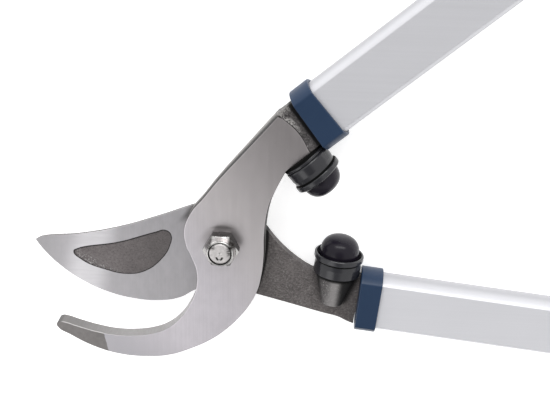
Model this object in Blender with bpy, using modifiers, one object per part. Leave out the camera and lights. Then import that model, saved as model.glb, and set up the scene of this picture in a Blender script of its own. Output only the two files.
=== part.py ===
"""Bypass lopper: a hooked jaw and a cutting blade on one pivot bolt, with two long tube handles.

The tool lies on its back. X runs along the handles, Z points up from the surface it lies on, and
the origin is on the pivot axis, at the outer face of the bolt head. All lengths are in metres.
"""

from math import asin, cos, pi, radians, sin, sqrt

import bmesh
import bpy
from mathutils import Vector

# Clearance between pieces that touch, and how far a cutter runs past the face it opens
FIT = 0.0003
RUN_OUT = 0.004

# Pose of the handles in the frame, as they stand half open
HOOK_ANGLE = radians(40.3)
BLADE_ANGLE = radians(-5.9)

# Forged jaws
HOOK_THICKNESS = 0.0085
BLADE_THICKNESS = 0.0052
TANG_THICKNESS = 0.0048
TANG_INSET = 0.0002
SHOULDER_HALF_WIDTH = 0.0157
SHOULDER_DROP = 0.0010
SHOULDER_DROP_LENGTH = 0.0038
SHOULDER_STEP = 0.0028
SHOULDER_STEP_LENGTH = 0.0090
NECK_PROUD = 0.0004
NECK_LENGTH = 0.0105
NECK_OVERLAP = 0.0020
NECK_HALF_WIDTH = 0.0134
HOOK_EDGE_BEVEL = 0.0005
TANG_WIDTH = 0.0180
TANG_ROOT = 0.0060
TANG_DEPTH_IN_TUBE = 0.0600
EDGE_CENTRE = (-0.0383, 0.0363)
EDGE_RADIUS = 0.0733
EDGE_BEVEL = 0.0140
EDGE_LAND = 0.0006
SPINE_CENTRE = (-0.1232, 0.2501)
SPINE_RADIUS = 0.2556
SPINE_BEVEL = 0.0075
SPINE_LAND = 0.0018
POCKET_DEPTH = 0.0009
GRIND_LEFT = 0.1100
GRIND_DOWN = 0.0600
GRIND_UP = 0.0400
EDGE_GRIND_END = 0.0120
SPINE_GRIND_END = 0.0060

# Pivot bolt, nut and bush
BOLT_RADIUS = 0.0050
BOLT_HEAD_ACROSS_FLATS = 0.0160
BOLT_HEAD_HEIGHT = 0.0064
NUT_ACROSS_FLATS = 0.0160
NUT_HEX_HEIGHT = 0.0068
NUT_CROWN_HEIGHT = 0.0032
NUT_CROWN_RADIUS = 0.0074
NUT_MOUTH_RADIUS = 0.0059
NUT_INSERT_HEIGHT = 0.0022
NUT_LIP = 0.0010
NUT_WALL = 0.0006
NUT_CROWN_DROP = 0.0008
HEX_CHAMFER = 0.0002
HEX_TURN = radians(30)
BOLT_CHAMFER = 0.0006
BUSH_WALL = 0.0015
WASHER_RADIUS = 0.0100
WASHER_THICKNESS = 0.0016

# Tube handles
HOOK_HANDLE_OFFSET = 0.0229
BLADE_HANDLE_OFFSET = 0.0217
TUBE_FLAT = 0.0233
TUBE_DEPTH = 0.0162
TUBE_BULGE = 0.0035
TUBE_WALL = 0.0016
HANDLE_REACH = 0.6100

# Collars where the tangs enter the tubes
HOOK_CUP_TO_COLLAR = 0.00304
BLADE_CUP_TO_COLLAR = 0.00044
COLLAR_LENGTH = 0.0108
COLLAR_WALL = 0.0016
COLLAR_END_WALL = 0.0026
COLLAR_BEVEL = 0.0008
SLEEVE_SETBACK = 0.0071
PIN_RADIUS = 0.0020

# Bumpers between the handles
BUMPER_ALONG = 0.0595
HOOK_SEAT_OFFSET = 0.0088
BLADE_SEAT_OFFSET = 0.0097
CUP_RADIUS = 0.0120
CUP_LENGTH = 0.0109
CUP_RIM_RADIUS = 0.01266
CUP_RIM_LENGTH = 0.0033
CUP_FLOOR = 0.0026
CUP_EDGE = 0.0007
CUP_GROOVE = 0.0005
CUP_MOUTH_RADIUS = 0.0116
CUP_MOUTH_DEPTH = 0.0020
DOME_RADIUS = 0.0096
DOME_LIFT = 0.0001
HOOK_BOSS_RADIUS = 0.0082
HOOK_BOSS_TIP_RADIUS = 0.0038
BLADE_BOSS_RADIUS = 0.0106
BLADE_BOSS_TIP_RADIUS = 0.0053
BOSS_LENGTH = 0.0173
BOSS_PROUD = 0.0003
PAD_RADIUS = 0.0114
PAD_ROOT = 0.0006
ARM_EDGE_OFFSET = 0.0110
SCREW_RADIUS = 0.0019
SCREW_HEAD_RADIUS = 0.0036
SCREW_HEAD_HEIGHT = 0.0026
SCREW_REACH = 0.0095
SCREW_CHAMFER = 0.0009

# Grips and their end caps
GRIP_LENGTH = 0.1500
GRIP_WIDTH = 0.0360
GRIP_DEPTH = 0.0276
GRIP_WAIST = 0.95
GRIP_BEVEL = 0.0012
CAP_BEVEL = 0.0020
END_FACE_ANGLE = radians(60)
CAP_THICKNESS = 0.0060
CAP_PLUG_LENGTH = 0.0180

# Roundness
TURNED_STEPS = 40
OUTLINE_STEPS = 5

# Heights measured from the plane where the two jaws meet
BLADE_FRONT = -FIT
BLADE_BACK = BLADE_FRONT - BLADE_THICKNESS
WASHER_FRONT = BLADE_BACK - FIT
HEAD_FRONT = WASHER_FRONT - WASHER_THICKNESS - FIT
HEAD_BACK = HEAD_FRONT - BOLT_HEAD_HEIGHT
NUT_BASE = HOOK_THICKNESS + FIT
NUT_HEIGHT = NUT_HEX_HEIGHT + NUT_CROWN_HEIGHT
HOLE_RADIUS = BOLT_RADIUS + FIT
BUSH_RADIUS = HOLE_RADIUS + BUSH_WALL
SCREW_HOLE_RADIUS = SCREW_RADIUS + FIT

# Where the collars start along their handles, clear of the bumper cups' rims
HOOK_COLLAR_START = BUMPER_ALONG + CUP_RIM_RADIUS + HOOK_CUP_TO_COLLAR
BLADE_COLLAR_START = BUMPER_ALONG + CUP_RIM_RADIUS + BLADE_CUP_TO_COLLAR

# Turns a shape built along Z so that it runs along a handle, or points from a seat to the other one
ALONG_HANDLE = (pi / 2, 0, pi / 2)
DOWN_FROM_HOOK = (pi / 2, 0, 0)
UP_FROM_BLADE = (-pi / 2, 0, 0)

# Third entry of an outline point that stays sharp
CORNER = True


def collection(name):
    """A new collection in the scene."""
    made = bpy.data.collections.new(name)
    bpy.context.scene.collection.children.link(made)
    return made


def material(name, colour, roughness, metallic):
    """A plain Principled material."""
    made = bpy.data.materials.new(name)
    made.use_nodes = True
    shader = made.node_tree.nodes["Principled BSDF"]
    shader.inputs["Base Color"].default_value = (*colour, 1)
    shader.inputs["Roughness"].default_value = roughness
    shader.inputs["Metallic"].default_value = metallic
    return made


def frame(name, parent, location=(0, 0, 0), turn=0.0):
    """An empty that carries pieces; turn is its angle about Z."""
    made = bpy.data.objects.new(name, None)
    PARTS.objects.link(made)
    made.parent = parent
    made.location = location
    made.rotation_euler = (0, 0, turn)
    return made


def new_object(name, mesh, parent, location=(0, 0, 0), rotation=(0, 0, 0)):
    """A mesh object under a frame."""
    made = bpy.data.objects.new(name, mesh)
    PARTS.objects.link(made)
    made.parent = parent
    made.location = location
    made.rotation_euler = rotation
    return made


def finish(piece, surface, smooth_angle=radians(35)):
    """Gives a piece its material and shades its round faces smooth."""
    piece.data.materials.clear()
    piece.data.materials.append(surface)
    piece.data.shade_smooth()
    piece.data.set_sharp_from_angle(angle=smooth_angle)
    return piece


def as_tool(piece):
    """Moves a helper shape to the cutters, so that only its effect on another piece stays."""
    PARTS.objects.unlink(piece)
    CUTTERS.objects.link(piece)
    piece.hide_render = True
    piece.display_type = "WIRE"
    return piece


def combine(piece, tool, operation):
    """Adds a Boolean modifier that joins, cuts or intersects a piece with a helper shape."""
    step = piece.modifiers.new(tool.name, "BOOLEAN")
    step.operation = operation
    step.object = as_tool(tool)


def cut(piece, tool):
    combine(piece, tool, "DIFFERENCE")


def join(piece, tool):
    combine(piece, tool, "UNION")


def bevel(piece, width, segments=2, angle=radians(40)):
    """Rounds the sharp edges of a piece."""
    step = piece.modifiers.new("edges", "BEVEL")
    step.width = width
    step.segments = segments
    step.limit_method = "ANGLE"
    step.angle_limit = angle


def mesh_from_curve(curve, name):
    """The evaluated mesh of a curve, with its caps welded on."""
    holder = bpy.data.objects.new(name, curve)
    PARTS.objects.link(holder)
    evaluated = holder.evaluated_get(bpy.context.evaluated_depsgraph_get())
    mesh = bpy.data.meshes.new_from_object(evaluated)
    mesh.name = name
    bpy.data.objects.remove(holder)
    work = bmesh.new()
    work.from_mesh(mesh)
    bmesh.ops.remove_doubles(work, verts=work.verts, dist=0.00001)
    bmesh.ops.recalc_face_normals(work, faces=work.faces)
    work.to_mesh(mesh)
    work.free()
    return mesh


def flat_curve(name, bottom, top):
    """An empty filled 2D curve whose thickness runs from bottom to top once it is lifted."""
    curve = bpy.data.curves.new(name, "CURVE")
    curve.dimensions = "2D"
    curve.fill_mode = "BOTH"
    curve.extrude = (top - bottom) / 2
    curve.resolution_u = OUTLINE_STEPS
    return curve


def plate(name, outline, bottom, top, parent):
    """A flat plate cut to a smooth outline; a point marked CORNER stays sharp."""
    curve = flat_curve(name, bottom, top)
    spline = curve.splines.new("BEZIER")
    spline.bezier_points.add(len(outline) - 1)
    for knot, point in zip(spline.bezier_points, outline):
        kind = "VECTOR" if len(point) > 2 else "AUTO"
        knot.co = (point[0], point[1], 0)
        knot.handle_left_type = kind
        knot.handle_right_type = kind
    spline.use_cyclic_u = True
    mesh = mesh_from_curve(curve, name)
    return new_object(name, mesh, parent, (0, 0, (bottom + top) / 2))


def bar(name, loops, start, end, parent, offset=0.0, height=0.0):
    """A straight bar along a handle, from start to end; the loops after the first are hollows."""
    curve = flat_curve(name, start, end)
    for loop in loops:
        spline = curve.splines.new("POLY")
        spline.points.add(len(loop) - 1)
        for knot, point in zip(spline.points, loop):
            knot.co = (point[0], point[1], 0, 1)
        spline.use_cyclic_u = True
    mesh = mesh_from_curve(curve, name)
    return new_object(name, mesh, parent, ((start + end) / 2, offset, height), ALONG_HANDLE)


def box(name, low, high, parent):
    """A box between two corners."""
    work = bmesh.new()
    bmesh.ops.create_cube(work, size=1)
    low, high = Vector(low), Vector(high)
    bmesh.ops.scale(work, vec=high - low, verts=work.verts)
    mesh = bpy.data.meshes.new(name)
    work.to_mesh(mesh)
    work.free()
    return new_object(name, mesh, parent, (low + high) / 2)


def cone(name, radii, length, parent, location, rotation=(0, 0, 0), steps=TURNED_STEPS):
    """A cone or cylinder that grows along its own Z from its first radius."""
    work = bmesh.new()
    bmesh.ops.create_cone(work, cap_ends=True, segments=steps,
                          radius1=radii[0], radius2=radii[1], depth=length)
    bmesh.ops.translate(work, vec=(0, 0, length / 2), verts=work.verts)
    mesh = bpy.data.meshes.new(name)
    work.to_mesh(mesh)
    work.free()
    return new_object(name, mesh, parent, location, rotation)


def turned(name, profile, parent, location=(0, 0, 0), rotation=(0, 0, 0), closed=False):
    """A turned piece: its profile runs down the outer side, as (radius, height) points."""
    mesh = bpy.data.meshes.new(name)
    count = len(profile)
    edges = [(i, i + 1) for i in range(count - 1)]
    if closed:
        edges.append((count - 1, 0))
    mesh.from_pydata([(radius, 0, height) for radius, height in profile], edges, [])
    made = new_object(name, mesh, parent, location, rotation)
    screw = made.modifiers.new("turn", "SCREW")
    screw.steps = TURNED_STEPS
    screw.render_steps = TURNED_STEPS
    screw.use_merge_vertices = True
    screw.merge_threshold = 0.00001
    return made


def arc(centre, radius, start, end, steps):
    """Points on a circle between two angles in degrees."""
    angles = [radians(start + (end - start) * i / steps) for i in range(steps + 1)]
    return [(centre[0] + radius * cos(a), centre[1] + radius * sin(a)) for a in angles]


def tube_section(grow):
    """The tube's section, grown by a wall or clearance: two flat faces and two barrel sides."""
    half_depth = TUBE_DEPTH / 2
    radius = (TUBE_BULGE ** 2 + half_depth ** 2) / (2 * TUBE_BULGE)
    middle = TUBE_FLAT / 2 + TUBE_BULGE - radius
    grown = radius + grow
    reach = asin(min(1, (half_depth + grow) / grown)) * 180 / pi
    right = arc((middle, 0), grown, -reach, reach, 8)
    left = [(-x, -y) for x, y in right]
    return right + left


def rectangle(width, low, high):
    """A rectangle across a handle, centred on it and between two heights."""
    return [(width / 2, low), (width / 2, high), (-width / 2, high), (-width / 2, low)]


def on_handle(angle, along, offset):
    """A point given along and across a handle, in the frame of the pivot."""
    return (along * cos(angle) - offset * sin(angle), along * sin(angle) + offset * cos(angle))


def drill(piece, name, radius, parent, low, high, along=0.0, offset=0.0):
    """Drills a hole through a piece, along Z."""
    cut(piece, cone(name, (radius, radius), high - low, parent, (along, offset, low)))


class Side:
    """Everything that differs between the hook's handle and the blade's handle."""

    def __init__(self, name, parent, angle, offset, seat, collar, tang_low, boss, down):
        self.name = name
        self.angle = angle
        self.frame = frame(name + "_handle_frame", parent, turn=angle)
        self.offset = offset
        self.seat = seat
        self.collar = collar
        self.tang_low = tang_low
        self.tang_high = tang_low + TANG_THICKNESS
        self.boss = boss
        self.down = down
        self.turn = DOWN_FROM_HOOK if down < 0 else UP_FROM_BLADE
        self.tube_start = collar + COLLAR_END_WALL + FIT
        self.pin_along = (self.tube_start + collar + COLLAR_LENGTH) / 2

    def point(self, along, offset):
        return on_handle(self.angle, along, offset)

    def corner(self, along, offset):
        return (*self.point(along, offset), CORNER)

    def bumper_place(self, lift=0.0):
        """A place on the bumper's axis, lifted from its seat towards the other handle."""
        return (BUMPER_ALONG, self.seat + self.down * lift, 0)


def hook_outline(side):
    """The hooked jaw and its arm, from the arm's upper edge round the throat and the tip."""
    arm_end = side.collar - NECK_LENGTH + NECK_OVERLAP
    arm_top = side.offset + NECK_HALF_WIDTH + TANG_INSET
    return [
        side.corner(arm_end, arm_top), side.point(0.0443, 0.0325), side.point(0.0208, 0.0277),
        (-0.0097, 0.0245), (-0.0155, 0.0180), (-0.0194, 0.0080), (-0.0184, -0.0010),
        (-0.0159, -0.0069), (-0.0132, -0.0150), (-0.0135, -0.0250), (-0.0168, -0.0341),
        (-0.0225, -0.0430), (-0.0290, -0.0487), (-0.0360, -0.0519), (-0.0450, -0.0538),
        (-0.0560, -0.0542), (-0.0664, -0.0527), (-0.0771, -0.0499), (-0.0834, -0.0481),
        (-0.0866, -0.0484), (-0.0872, -0.0508), (-0.0807, -0.0552), (-0.0676, -0.0617),
        (-0.0540, -0.0653), (-0.0393, -0.0659), (-0.0275, -0.0643), (-0.0168, -0.0601),
        (-0.0062, -0.0543), (0.0022, -0.0476), (0.0095, -0.0396), (0.0146, -0.0321),
        (0.0181, -0.0246), (0.0201, -0.0165), (0.0213, -0.0060), (0.0213, 0.0090),
        (0.0229, 0.0235), (0.0256, 0.0330), side.corner(BUMPER_ALONG - PAD_RADIUS, ARM_EDGE_OFFSET),
        side.corner(arm_end, ARM_EDGE_OFFSET), side.point(arm_end + NECK_OVERLAP, side.offset),
    ]


def build_hook(side):
    """The forged hook: jaw, arm, bumper pad and boss, and the tang that enters the tube."""
    hook = plate("hook_jaw", hook_outline(side), 0, HOOK_THICKNESS, ROOT)
    bevel(hook, HOOK_EDGE_BEVEL, segments=1)
    neck_low = (side.collar - NECK_LENGTH, ARM_EDGE_OFFSET + TANG_INSET, side.tang_low - NECK_PROUD)
    neck_high = (side.collar - FIT, side.offset + NECK_HALF_WIDTH, side.tang_high + NECK_PROUD)
    join(hook, box("hook_neck", neck_low, neck_high, side.frame))
    add_tang(hook, side)
    pad_depth = ARM_EDGE_OFFSET - side.seat + PAD_ROOT
    join(hook, cone("hook_pad", (PAD_RADIUS, PAD_RADIUS), pad_depth, side.frame,
                    side.bumper_place(-pad_depth), side.turn))
    add_boss(hook, side, ARM_EDGE_OFFSET - side.seat)
    drill_jaw(hook, side, HOLE_RADIUS)
    return finish(hook, FORGED_STEEL)


def blade_outline(side):
    """The cutting blade: round the spine, over the pivot, along the tang and back by the edge."""
    shoulder_end = side.collar - FIT
    shoulder = side.offset - SHOULDER_HALF_WIDTH
    return [
        (-0.0980, -0.0052), (-0.0961, -0.0040), (-0.0749, -0.0008), (-0.0538, 0.0041),
        (-0.0329, 0.0114), (-0.0138, 0.0189), (0.0000, 0.0232), (0.0130, 0.0190),
        (0.0218, 0.0066), (0.0295, -0.0027), (0.0403, -0.0117),
        side.corner(BUMPER_ALONG - CUP_RIM_RADIUS, side.seat - BOSS_PROUD),
        side.corner(shoulder_end, side.seat - BOSS_PROUD),
        side.corner(shoulder_end, shoulder),
        side.point(side.collar - SHOULDER_DROP_LENGTH, shoulder + SHOULDER_DROP),
        side.point(side.collar - SHOULDER_STEP_LENGTH, shoulder + SHOULDER_STEP),
        side.point(0.0565, -0.0337), side.point(0.0400, -0.0312),
        (0.0266, -0.0326), (0.0173, -0.0303), (0.0020, -0.0268), (-0.0141, -0.0293),
        (-0.0231, -0.0345), *reversed(arc(EDGE_CENTRE, EDGE_RADIUS, 219, 273, 5)),
    ]


def pocket_outline():
    """The shallow forged hollow in the blade's face."""
    return [
        (-0.0789, -0.0108), (-0.0767, -0.0090), (-0.0541, -0.0040), (-0.0357, 0.0023),
        (-0.0305, 0.0037), (-0.0275, 0.0016), (-0.0280, -0.0052), (-0.0334, -0.0140),
        (-0.0414, -0.0203), (-0.0500, -0.0224), (-0.0620, -0.0206), (-0.0755, -0.0150),
    ]


def grind_blade(blade):
    """Grinds the back of the blade towards its edge and its spine with two conical wheels."""
    low = BLADE_BACK - RUN_OUT
    zone_low = (-GRIND_LEFT, -GRIND_DOWN, low)
    slope = EDGE_BEVEL / (BLADE_THICKNESS - EDGE_LAND)
    height = BLADE_FRONT - EDGE_LAND - low
    waste = box("edge_waste", zone_low, (-EDGE_GRIND_END, GRIND_UP, BLADE_FRONT - EDGE_LAND), ROOT)
    keep = cone("edge_keep", (EDGE_RADIUS - slope * height, EDGE_RADIUS), height, ROOT,
                (*EDGE_CENTRE, low), steps=4 * TURNED_STEPS)
    cut(waste, keep)
    cut(blade, waste)
    height = BLADE_FRONT - SPINE_LAND - low
    slope = SPINE_BEVEL / (BLADE_THICKNESS - SPINE_LAND)
    wheel = cone("spine_wheel", (SPINE_RADIUS + slope * height, SPINE_RADIUS), height, ROOT,
                 (*SPINE_CENTRE, low), steps=8 * TURNED_STEPS)
    zone = box("spine_zone", zone_low, (-SPINE_GRIND_END, GRIND_UP, BLADE_FRONT), ROOT)
    combine(wheel, zone, "INTERSECT")
    cut(blade, wheel)


def build_blade(side):
    """The forged blade: ground edge, pocket, bumper boss and tang."""
    blade = plate("cutting_blade", blade_outline(side), BLADE_BACK, BLADE_FRONT, PIVOT)
    grind_blade(blade)
    cut(blade, plate("pocket", pocket_outline(), BLADE_FRONT - POCKET_DEPTH, BLADE_FRONT + RUN_OUT, PIVOT))
    add_tang(blade, side)
    add_boss(blade, side, 0)
    drill_jaw(blade, side, BUSH_RADIUS + FIT)
    return finish(blade, FORGED_STEEL)


def add_tang(jaw, side):
    """The flat bar that runs from the jaw's shoulder into its tube."""
    tang = bar(side.name + "_tang", [rectangle(TANG_WIDTH, side.tang_low, side.tang_high)],
               side.collar - TANG_ROOT, side.collar + TANG_DEPTH_IN_TUBE, side.frame, side.offset)
    join(jaw, tang)


def add_boss(jaw, side, root):
    """The tapered boss that backs the bumper's screw; root is how deep its wide end sits."""
    boss = cone(side.name + "_boss", side.boss, BOSS_LENGTH, side.frame,
                side.bumper_place(-root), tuple(-angle for angle in side.turn))
    join(jaw, boss)


def drill_jaw(jaw, side, pivot_radius):
    """The pivot hole, the bumper's screw hole and the hole for the pin in the tang."""
    low = HEAD_BACK
    high = NUT_BASE + NUT_HEIGHT
    drill(jaw, side.name + "_pivot_hole", pivot_radius, ROOT, low, high)
    drill(jaw, side.name + "_tang_hole", PIN_RADIUS + FIT, side.frame, low, high,
          side.pin_along, side.offset)
    reach = SCREW_REACH + FIT
    cut(jaw, cone(side.name + "_screw_hole", (SCREW_HOLE_RADIUS, SCREW_HOLE_RADIUS), reach + RUN_OUT,
                  side.frame, side.bumper_place(-reach), side.turn))


def build_collar(side):
    """The plastic ferrule over the end of the tube, with a slot for the tang."""
    end = side.collar + COLLAR_LENGTH
    outer = bar(side.name + "_collar", [tube_section(COLLAR_WALL + FIT)], side.collar, end,
                side.frame, side.offset)
    bevel(outer, COLLAR_BEVEL)
    cut(outer, bar(side.name + "_collar_bore", [tube_section(FIT)], side.collar + COLLAR_END_WALL,
                   end + RUN_OUT, side.frame, side.offset))
    slot = rectangle(TANG_WIDTH + 2 * FIT, side.tang_low - FIT, side.tang_high + FIT)
    cut(outer, bar(side.name + "_collar_slot", [slot], side.collar - RUN_OUT, end, side.frame, side.offset))
    return finish(outer, NAVY_PLASTIC)


def build_tube(side):
    """The aluminium handle tube, open at both ends, with a hole through both faces for the pin."""
    tube = bar(side.name + "_handle_tube", [tube_section(0), tube_section(-TUBE_WALL)],
               side.tube_start, HANDLE_REACH, side.frame, side.offset)
    drill(tube, side.name + "_tube_pin_hole", PIN_RADIUS + FIT, side.frame, -TUBE_DEPTH, TUBE_DEPTH,
          side.pin_along, side.offset)
    return finish(tube, ALUMINIUM)


def build_sleeve(side):
    """The plastic packing that holds the tang tight inside the tube."""
    slot = rectangle(TANG_WIDTH + 2 * FIT, side.tang_low - FIT, side.tang_high + FIT)
    sleeve = bar(side.name + "_tang_sleeve", [tube_section(-TUBE_WALL - FIT), slot], side.tube_start,
                 side.collar + TANG_DEPTH_IN_TUBE - SLEEVE_SETBACK, side.frame, side.offset)
    drill(sleeve, side.name + "_sleeve_pin_hole", PIN_RADIUS + FIT, side.frame, -TUBE_DEPTH, TUBE_DEPTH,
          side.pin_along, side.offset)
    return finish(sleeve, BLACK_PLASTIC)


def build_pin(side):
    """The steel pin through tube, sleeve and tang, hidden under the collar."""
    pin = cone(side.name + "_tang_pin", (PIN_RADIUS, PIN_RADIUS), TUBE_DEPTH, side.frame,
               (side.pin_along, side.offset, -TUBE_DEPTH / 2), steps=24)
    return finish(pin, ZINC_STEEL)


def build_bumper(side):
    """The cup on its seat, the rubber buffer in it and the screw that holds the cup."""
    rim = CUP_LENGTH
    band = CUP_LENGTH - CUP_RIM_LENGTH
    bore = DOME_RADIUS + FIT
    cup = turned(side.name + "_bumper_cup", [
        (CUP_MOUTH_RADIUS, rim), (CUP_RIM_RADIUS - CUP_EDGE, rim), (CUP_RIM_RADIUS, rim - CUP_EDGE),
        (CUP_RIM_RADIUS, band + CUP_EDGE), (CUP_RADIUS - CUP_GROOVE, band),
        (CUP_RADIUS - CUP_GROOVE, band - CUP_GROOVE), (CUP_RADIUS, band - 2 * CUP_GROOVE),
        (CUP_RADIUS, CUP_EDGE), (CUP_RADIUS - CUP_EDGE, 0), (SCREW_HOLE_RADIUS, 0),
        (SCREW_HOLE_RADIUS, CUP_FLOOR), (bore, CUP_FLOOR), (bore, rim - CUP_MOUTH_DEPTH),
    ], side.frame, side.bumper_place(FIT), side.turn, closed=True)
    finish(cup, BLACK_PLASTIC)
    floor = CUP_FLOOR + FIT
    centre = rim + DOME_LIFT
    recess = SCREW_HEAD_RADIUS + 2 * FIT
    head_top = floor + SCREW_HEAD_HEIGHT
    dome = arc((0, centre), DOME_RADIUS, 90, 0, 10)
    buffer = turned(side.name + "_bumper_rubber", [
        (0, centre + DOME_RADIUS), *dome[1:], (DOME_RADIUS, floor), (recess, floor),
        (recess, head_top + FIT), (0, head_top + FIT),
    ], side.frame, side.bumper_place(FIT), side.turn)
    finish(buffer, BLACK_RUBBER)
    screw = turned(side.name + "_bumper_screw", [
        (0, head_top), (SCREW_HEAD_RADIUS - SCREW_CHAMFER, head_top),
        (SCREW_HEAD_RADIUS, head_top - SCREW_CHAMFER), (SCREW_HEAD_RADIUS, floor),
        (SCREW_RADIUS, floor), (SCREW_RADIUS, -SCREW_REACH), (0, -SCREW_REACH),
    ], side.frame, side.bumper_place(FIT), side.turn)
    finish(screw, ZINC_STEEL)


def grip_swell(share):
    """How wide the grip is along its length: full at both ends, narrower at its waist."""
    return GRIP_WAIST + (1 - GRIP_WAIST) * cos(2 * pi * share) ** 2


def oval_bar(name, start, end, rings, swell, side):
    """An oval bar along the handle, whose size follows a swell along its length."""
    work = bmesh.new()
    bmesh.ops.create_cone(work, cap_ends=True, segments=32, radius1=1, radius2=1, depth=1)
    lengthwise = [edge for edge in work.edges if abs(edge.verts[0].co.z - edge.verts[1].co.z) > 0.5]
    if rings:
        bmesh.ops.subdivide_edges(work, edges=lengthwise, cuts=rings, use_grid_fill=True)
    for vert in work.verts:
        size = swell(vert.co.z + 0.5)
        vert.co.x *= size * GRIP_WIDTH / 2
        vert.co.y *= size * GRIP_DEPTH / 2
        vert.co.z *= end - start
    mesh = bpy.data.meshes.new(name)
    work.to_mesh(mesh)
    work.free()
    return new_object(name, mesh, side.frame, ((start + end) / 2, side.offset, 0), ALONG_HANDLE)


def build_grip(side):
    """The soft grip slid over the end of the tube."""
    start = HANDLE_REACH - GRIP_LENGTH
    grip = oval_bar(side.name + "_grip", start, HANDLE_REACH, 12, grip_swell, side)
    bevel(grip, GRIP_BEVEL, angle=END_FACE_ANGLE)
    cut(grip, bar(side.name + "_grip_bore", [tube_section(FIT)], start - RUN_OUT, HANDLE_REACH + RUN_OUT,
                  side.frame, side.offset))
    return finish(grip, GRIP_RUBBER)


def build_cap(side):
    """The end cap, plugged into the tube and flush with the grip."""
    start = HANDLE_REACH + FIT
    cap = oval_bar(side.name + "_grip_cap", start, start + CAP_THICKNESS, 0, lambda share: 1.0, side)
    bevel(cap, CAP_BEVEL, segments=3, angle=END_FACE_ANGLE)
    join(cap, bar(side.name + "_cap_plug", [tube_section(-TUBE_WALL - FIT)], start - CAP_PLUG_LENGTH,
                  start + CAP_THICKNESS / 2, side.frame, side.offset))
    return finish(cap, NAVY_PLASTIC)


def hexagon(name, across_flats, height, low):
    """A hexagonal prism on the pivot axis, with its corners chamfered by a turned blank."""
    corner = across_flats / sqrt(3)
    prism = cone(name, (corner, corner), height, ROOT, (0, 0, low), (0, 0, HEX_TURN), steps=6)
    chamfer = across_flats / 2 - HEX_CHAMFER
    outside = corner + HEX_CHAMFER
    drop = (outside - chamfer) / 2
    blank = turned(name + "_blank", [
        (0, height), (chamfer, height), (outside, height - drop), (outside, drop), (chamfer, 0), (0, 0),
    ], ROOT, (0, 0, low))
    combine(prism, blank, "INTERSECT")
    return prism


def build_pivot():
    """The bolt, washer, bush and lock nut that the jaws turn on."""
    bolt = hexagon("pivot_bolt", BOLT_HEAD_ACROSS_FLATS, BOLT_HEAD_HEIGHT, HEAD_BACK)
    bolt_end = NUT_BASE + NUT_HEIGHT
    shank_start = HEAD_FRONT - BOLT_HEAD_HEIGHT / 2
    join(bolt, turned("bolt_shank", [
        (0, bolt_end), (BOLT_RADIUS - BOLT_CHAMFER, bolt_end), (BOLT_RADIUS, bolt_end - BOLT_CHAMFER),
        (BOLT_RADIUS, shank_start), (0, shank_start),
    ], ROOT))
    finish(bolt, ZINC_STEEL)

    washer = turned("pivot_washer", [
        (HOLE_RADIUS, WASHER_FRONT), (WASHER_RADIUS, WASHER_FRONT),
        (WASHER_RADIUS, WASHER_FRONT - WASHER_THICKNESS), (HOLE_RADIUS, WASHER_FRONT - WASHER_THICKNESS),
    ], ROOT, closed=True)
    finish(washer, ZINC_STEEL)

    bush = turned("pivot_bush", [
        (HOLE_RADIUS, BLADE_FRONT), (BUSH_RADIUS, BLADE_FRONT),
        (BUSH_RADIUS, BLADE_BACK), (HOLE_RADIUS, BLADE_BACK),
    ], PIVOT, closed=True)
    finish(bush, BRONZE)

    nut = hexagon("pivot_nut", NUT_ACROSS_FLATS, NUT_HEX_HEIGHT, NUT_BASE)
    crown_top = NUT_BASE + NUT_HEIGHT
    crown_root = NUT_BASE + NUT_HEX_HEIGHT / 2
    crown_edge = (NUT_MOUTH_RADIUS + NUT_CROWN_RADIUS) / 2
    groove_top = crown_top - NUT_LIP
    groove_low = groove_top - NUT_INSERT_HEIGHT - 2 * FIT
    groove_radius = NUT_CROWN_RADIUS - NUT_WALL
    join(nut, turned("nut_crown", [
        (0, crown_top), (crown_edge, crown_top), (NUT_CROWN_RADIUS, crown_top - NUT_CROWN_DROP),
        (NUT_CROWN_RADIUS, crown_root), (0, crown_root),
    ], ROOT))
    cut(nut, turned("nut_bore", [
        (0, crown_top + RUN_OUT), (NUT_MOUTH_RADIUS, crown_top + RUN_OUT), (NUT_MOUTH_RADIUS, groove_top),
        (groove_radius, groove_top), (groove_radius, groove_low), (HOLE_RADIUS, groove_low),
        (HOLE_RADIUS, NUT_BASE - RUN_OUT), (0, NUT_BASE - RUN_OUT),
    ], ROOT))
    finish(nut, ZINC_STEEL)

    insert = turned("pivot_nut_insert", [
        (HOLE_RADIUS, groove_top - FIT), (groove_radius - FIT, groove_top - FIT),
        (groove_radius - FIT, groove_low + FIT), (HOLE_RADIUS, groove_low + FIT),
    ], ROOT, closed=True)
    finish(insert, NYLON)


def build_side(side):
    """All the pieces of one handle."""
    build_collar(side)
    build_tube(side)
    build_sleeve(side)
    build_pin(side)
    build_bumper(side)
    build_grip(side)
    build_cap(side)


for left_over in list(bpy.data.objects):
    bpy.data.objects.remove(left_over)

PARTS = collection("lopper")
CUTTERS = collection("cutters")

FORGED_STEEL = material("forged_steel", (0.46, 0.45, 0.45), 0.42, 1.0)
ALUMINIUM = material("aluminium", (0.62, 0.62, 0.65), 0.38, 1.0)
NAVY_PLASTIC = material("navy_plastic", (0.020, 0.040, 0.095), 0.42, 0.0)
BLACK_PLASTIC = material("black_plastic", (0.018, 0.018, 0.020), 0.40, 0.0)
BLACK_RUBBER = material("black_rubber", (0.015, 0.014, 0.016), 0.50, 0.0)
GRIP_RUBBER = material("grip_rubber", (0.020, 0.022, 0.026), 0.70, 0.0)
ZINC_STEEL = material("zinc_steel", (0.66, 0.65, 0.63), 0.25, 1.0)
BRONZE = material("bronze", (0.45, 0.30, 0.14), 0.40, 1.0)
NYLON = material("nylon", (0.05, 0.05, 0.055), 0.50, 0.0)

ROOT = frame("lopper_frame", None, (0, 0, -HEAD_BACK))
PIVOT = frame("jaw_pivot", ROOT)

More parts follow.
